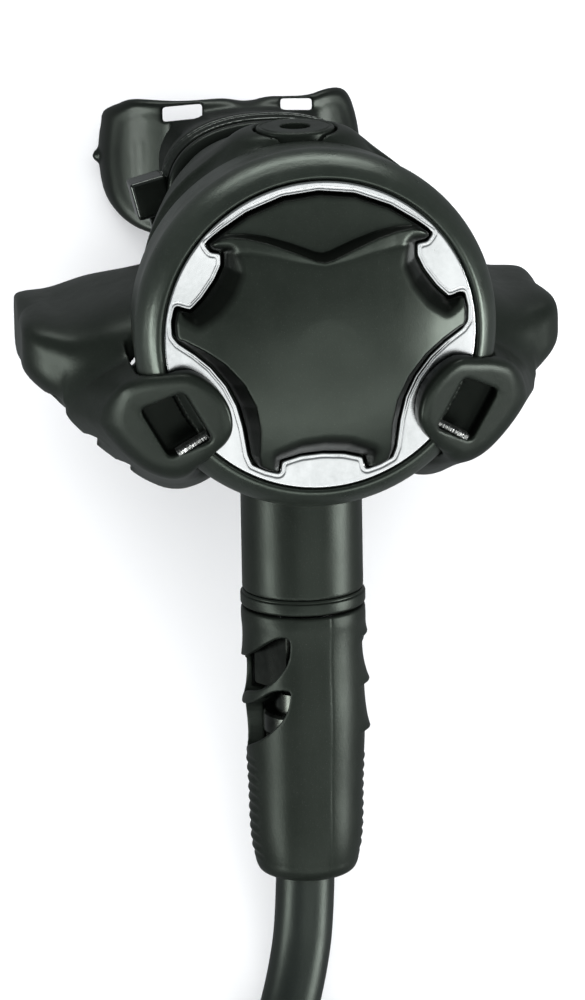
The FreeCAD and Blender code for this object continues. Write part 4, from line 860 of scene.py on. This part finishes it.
v = smin(smin(ring, head, 0.8), tail, 0.4)
v = np.maximum(v, -oval_d(g.x, g.u - 16.0, 20.05, 13.55, 2.3))
place(carve("collar_tie", g, v, 0.7), "tie", "second_stage", "mouthpiece_tie")

# ------------------------------------------------------------------ sleeve over the hose end
g = Grid((-15.3, -119.4, -15.3), (15.3, -61.2, 15.3), 0.3)
uu = g.u[0, :, 0]
base = curve(uu, (-119.0, -118.4, -117.6, -116.6, -114.8, -98.0, -86.0, -66.0, -64.2, -62.0), (7.6, 8.7, 9.7, 10.25, 10.65, 11.7, 12.3, 12.42, 12.6, 12.55))[None, :, None]
ang = np.degrees(np.arctan2(g.f, g.x))
# positions round the sleeve: 0 right, 90 front, 180 left


def facing(middle, wide):
    d = np.abs((ang - middle + 180.0) % 360.0 - 180.0)
    return band_between(wide - d, 0.0, wide * 0.55)


def saw(u, top, bottom):
    """Grows from 0 at the top to 1 at the bottom and then drops."""
    t = (top - u) / (top - bottom)
    return np.where((t > 0) & (t < 1), np.abs(t) ** 2.6, 0).astype(F32) * band_between(u - bottom, 0.0, 0.35)


gills = facing(-24.0, 62.0) * (0.9 * saw(g.u, -62.3, -68.6) + 1.35 * saw(g.u, -69.2, -78.6) + 1.3 * saw(g.u, -79.2, -88.6) - 0.4 * saw(-g.u, 99.0, 69.4))
gills = gills + facing(168.0, 50.0) * (0.6 * saw(g.u, -62.3, -72.8) + 0.6 * saw(g.u, -74.0, -82.6) - 0.4 * saw(-g.u, 101.0, 73.8))
ribs = 0.22 * np.cos(g.u * (2 * math.pi / 2.05)) * band_between(-92.5 - g.u, 0, 2) * band_between(g.u + 115.5, 0, 2)
ribs = ribs * np.maximum(facing(176.0, 26.0), facing(-4.0, 26.0))
seam = -0.07 * np.exp(-((ang - 72.0) / 0.9) ** 2)
wall = base + gills + ribs + seam
v = g.T - wall.astype(F32)
v = smax(v, g.u + 62.0, 0.5)
v = smax(v, -118.5 - g.u, 0.9)
bore = np.where(g.u > -80.0, g.T - 10.75, np.where(g.u > -105.5, g.T - 8.5, g.T - 6.3)).astype(F32)
bore = np.minimum(bore, smax(g.T - 7.0, g.u + 116.5, 0.6))
v = smax(v, -bore, 0.5)
SLITS = [[(113, -66.6), (124, -66.4), (140, -68.2), (160, -70.6), (185, -72.6), (198, -73.5), (203, -77.5), (196, -81.0), (175, -79.4), (150, -78.0), (132.6, -75.9), (120, -73.2), (113.5, -70.4)],
         [(114, -77.3), (132.6, -77.9), (150, -80.1), (170, -81.8), (189, -82.9), (199, -84.0), (204, -88.5), (197, -92.2), (166.6, -90.2), (145, -88.0), (128, -85.1), (118.5, -82.6), (114, -79.8)]]
ROUND = math.radians(1.0) * 12.3
for slit in SLITS:
    for shift in (0.0, 216.0):
        pts = rounded_loop([(q * ROUND, w) for q, w in slit], 3)
        around = ((ang + shift) % 360.0) * ROUND
        field = loop_d(pts, around[:, None, :] if around.ndim == 2 else around, g.u + 0 * around).astype(F32)
        v = smax(v, -np.maximum(field, 4.0 - g.T), 0.45)
place(carve("hose_sleeve", g, v, 0.8), "boot", "hose_assembly", "hose_protector")

# ------------------------------------------------------------------ tie round the coil
a = math.radians(250.0)
radial, along = np.array([math.cos(a), math.sin(a), 0]), np.array([-math.sin(a), math.cos(a), 0])
mid = np.array([COIL[0], COIL[1], 0.0]) + 71.8 * radial
prof = []
for k in range(40):
    t = 2 * math.pi * k / 40
    prof.append((6.35 * math.cos(t), 6.35 * math.sin(t) + (6.2 if math.sin(t) >= 0 else -6.2)))
verts, faces, n = [], [], len(prof)
for w in (-8.0, -7.7, 7.7, 8.0):
    for grow in ((0.15,) if abs(w) == 8.0 else (0.0,)) + ((0.85,) if abs(w) == 8.0 else (1.0,)):
        for p, q in prof:
            m = math.hypot(p, q - math.copysign(6.2, q))
            verts.append(mid + radial * p * (1 + grow / 6.35) + np.array([0, 0, 13.2 + q + (q - math.copysign(6.2, q)) * grow / 6.35]) + along * w)
loops = [verts[i * n:(i + 1) * n] for i in range(8)]
order = [0, 2, 4, 6, 7, 5, 3, 1]
for a0, a1 in zip(order, order[1:] + order[:1]):
    for k in range(n):
        j = (k + 1) % n
        faces.append((a0 * n + k, a0 * n + j, a1 * n + j, a1 * n + k))
me = bpy.data.meshes.new("coil_strap")
me.from_pydata((np.array(verts) * 0.001).tolist(), [], faces)
strap = bpy.data.objects.new("coil_strap", me)
scene.collection.objects.link(strap)
sub = strap.modifiers.new("round", "SUBSURF")
sub.levels = sub.render_levels = 2
place(strap, "strap", "hose_assembly", "coil_tie")

# ------------------------------------------------------------------ metal end of the hose
end = Vector((102.5, -108.1, 8.75)) * 0.001
way = (Vector((102.5, -108.1, 8.75)) - Vector((102.3, -134.1, 9.4))).normalized()
at_end = Matrix.Translation(end) @ way.to_track_quat("Z", "Y").to_matrix().to_4x4()
sleeve = [(6.03, -20.0, 0.1), (7.7, -20.0, 0.3), (8.3, -19.4, 0.3)]
for k in range(7):
    h = -17.6 + 2.1 * k
    sleeve += [(8.3, h, 0.15), (7.75, h + 0.45, 0.2), (7.75, h + 0.95, 0.2), (8.3, h + 1.4, 0.15)]
sleeve += [(8.3, -0.3, 0.2), (8.0, 0.0, 0.2), (6.03, 0.0, 0.1)]
place(turn("end_crimp", filleted(sleeve, 0.2, 2), "u", 96, at=at_end), "brass", "hose_assembly", "end_sleeve")

# carried pieces keep their shape and get their finish; the hose nut, swivel stem and crimp sleeve get plated metal
# painted dark as shade inside the hose sleeve
for names, key in ((("button_spring", "poppet_spring", "demand_lever", "lever_pin"), "steel"), (("valve_tube", "valve_seat", "end_fitting"), "brass"), (("hose_nut", "swivel_stem", "crimp_sleeve"), "nickel_shaded"),
                   (("diaphragm", "exhaust_flap"), "silicone"), (("guard_plate", "diaphragm_disc", "poppet"), "inner"), (("poppet_pad", "plug_seal", "swivel_seal", "fitting_seal"), "seal")):
    for n in names:
        dress(frame["nodes"][n], key)

# ------------------------------------------------------------------ floor and light
me = bpy.data.meshes.new("floor")
me.from_pydata([(-4, -4, -0.0001), (4, -4, -0.0001), (4, 4, -0.0001), (-4, 4, -0.0001)], [], [(0, 1, 2, 3)])
floor = bpy.data.objects.new("floor", me)
scene.collection.objects.link(floor)
fm = bpy.data.materials.new("pale_floor")
nt, b, tc = nodes_of(fm)
nt.links.new(mix(nt, noise(nt, tc.outputs["Object"], 3.0, 3.0), (0.90, 0.91, 0.925), (0.93, 0.938, 0.95)), b.inputs["Base Color"])
b.inputs["Roughness"].default_value = 0.9
b.inputs["Specular IOR Level"].default_value = 0.1
me.materials.append(fm)
floor.visible_glossy = False


def lamp(name, at, to, wide, high, power, tint=(1, 1, 1)):
    d = bpy.data.lights.new(name, "AREA")
    d.shape = "RECTANGLE"
    d.size, d.size_y = wide, high
    d.energy = power
    d.color = tint
    o = bpy.data.objects.new(name, d)
    scene.collection.objects.link(o)
    o.location = at
    o.rotation_euler = (Vector(to) - Vector(at)).to_track_quat("-Z", "Y").to_euler()
    return o


lamp("left_box", (-0.92, -0.40, 0.15), (0, -0.02, 0.07), 0.80, 0.24, 7.5)
lamp("right_box", (0.93, -0.36, 0.30), (0, -0.02, 0.05), 0.42, 0.52, 10.0)
lamp("front_low", (0.05, -0.95, 0.46), (0, 0, 0.05), 1.5, 0.36, 4.6)
lamp("front_high", (0.12, -0.72, 0.88), (0, 0, 0.05), 0.9, 0.40, 1.7)
lamp("back_strip", (0.0, 1.05, 0.30), (0, 0, 0.05), 1.3, 0.28, 7.0)
lamp("top_box", (0.0, 0.25, 1.6), (0, 0, 0.05), 2.6, 2.2, 34.0).visible_glossy = False
wd = bpy.data.worlds.new("world")
scene.world = wd
wd.use_nodes = True
wd.node_tree.nodes["Background"].inputs["Color"].default_value = (0.80, 0.84, 0.86, 1)
wd.node_tree.nodes["Background"].inputs["Strength"].default_value = 0.25
scene.view_settings.view_transform = "Standard"
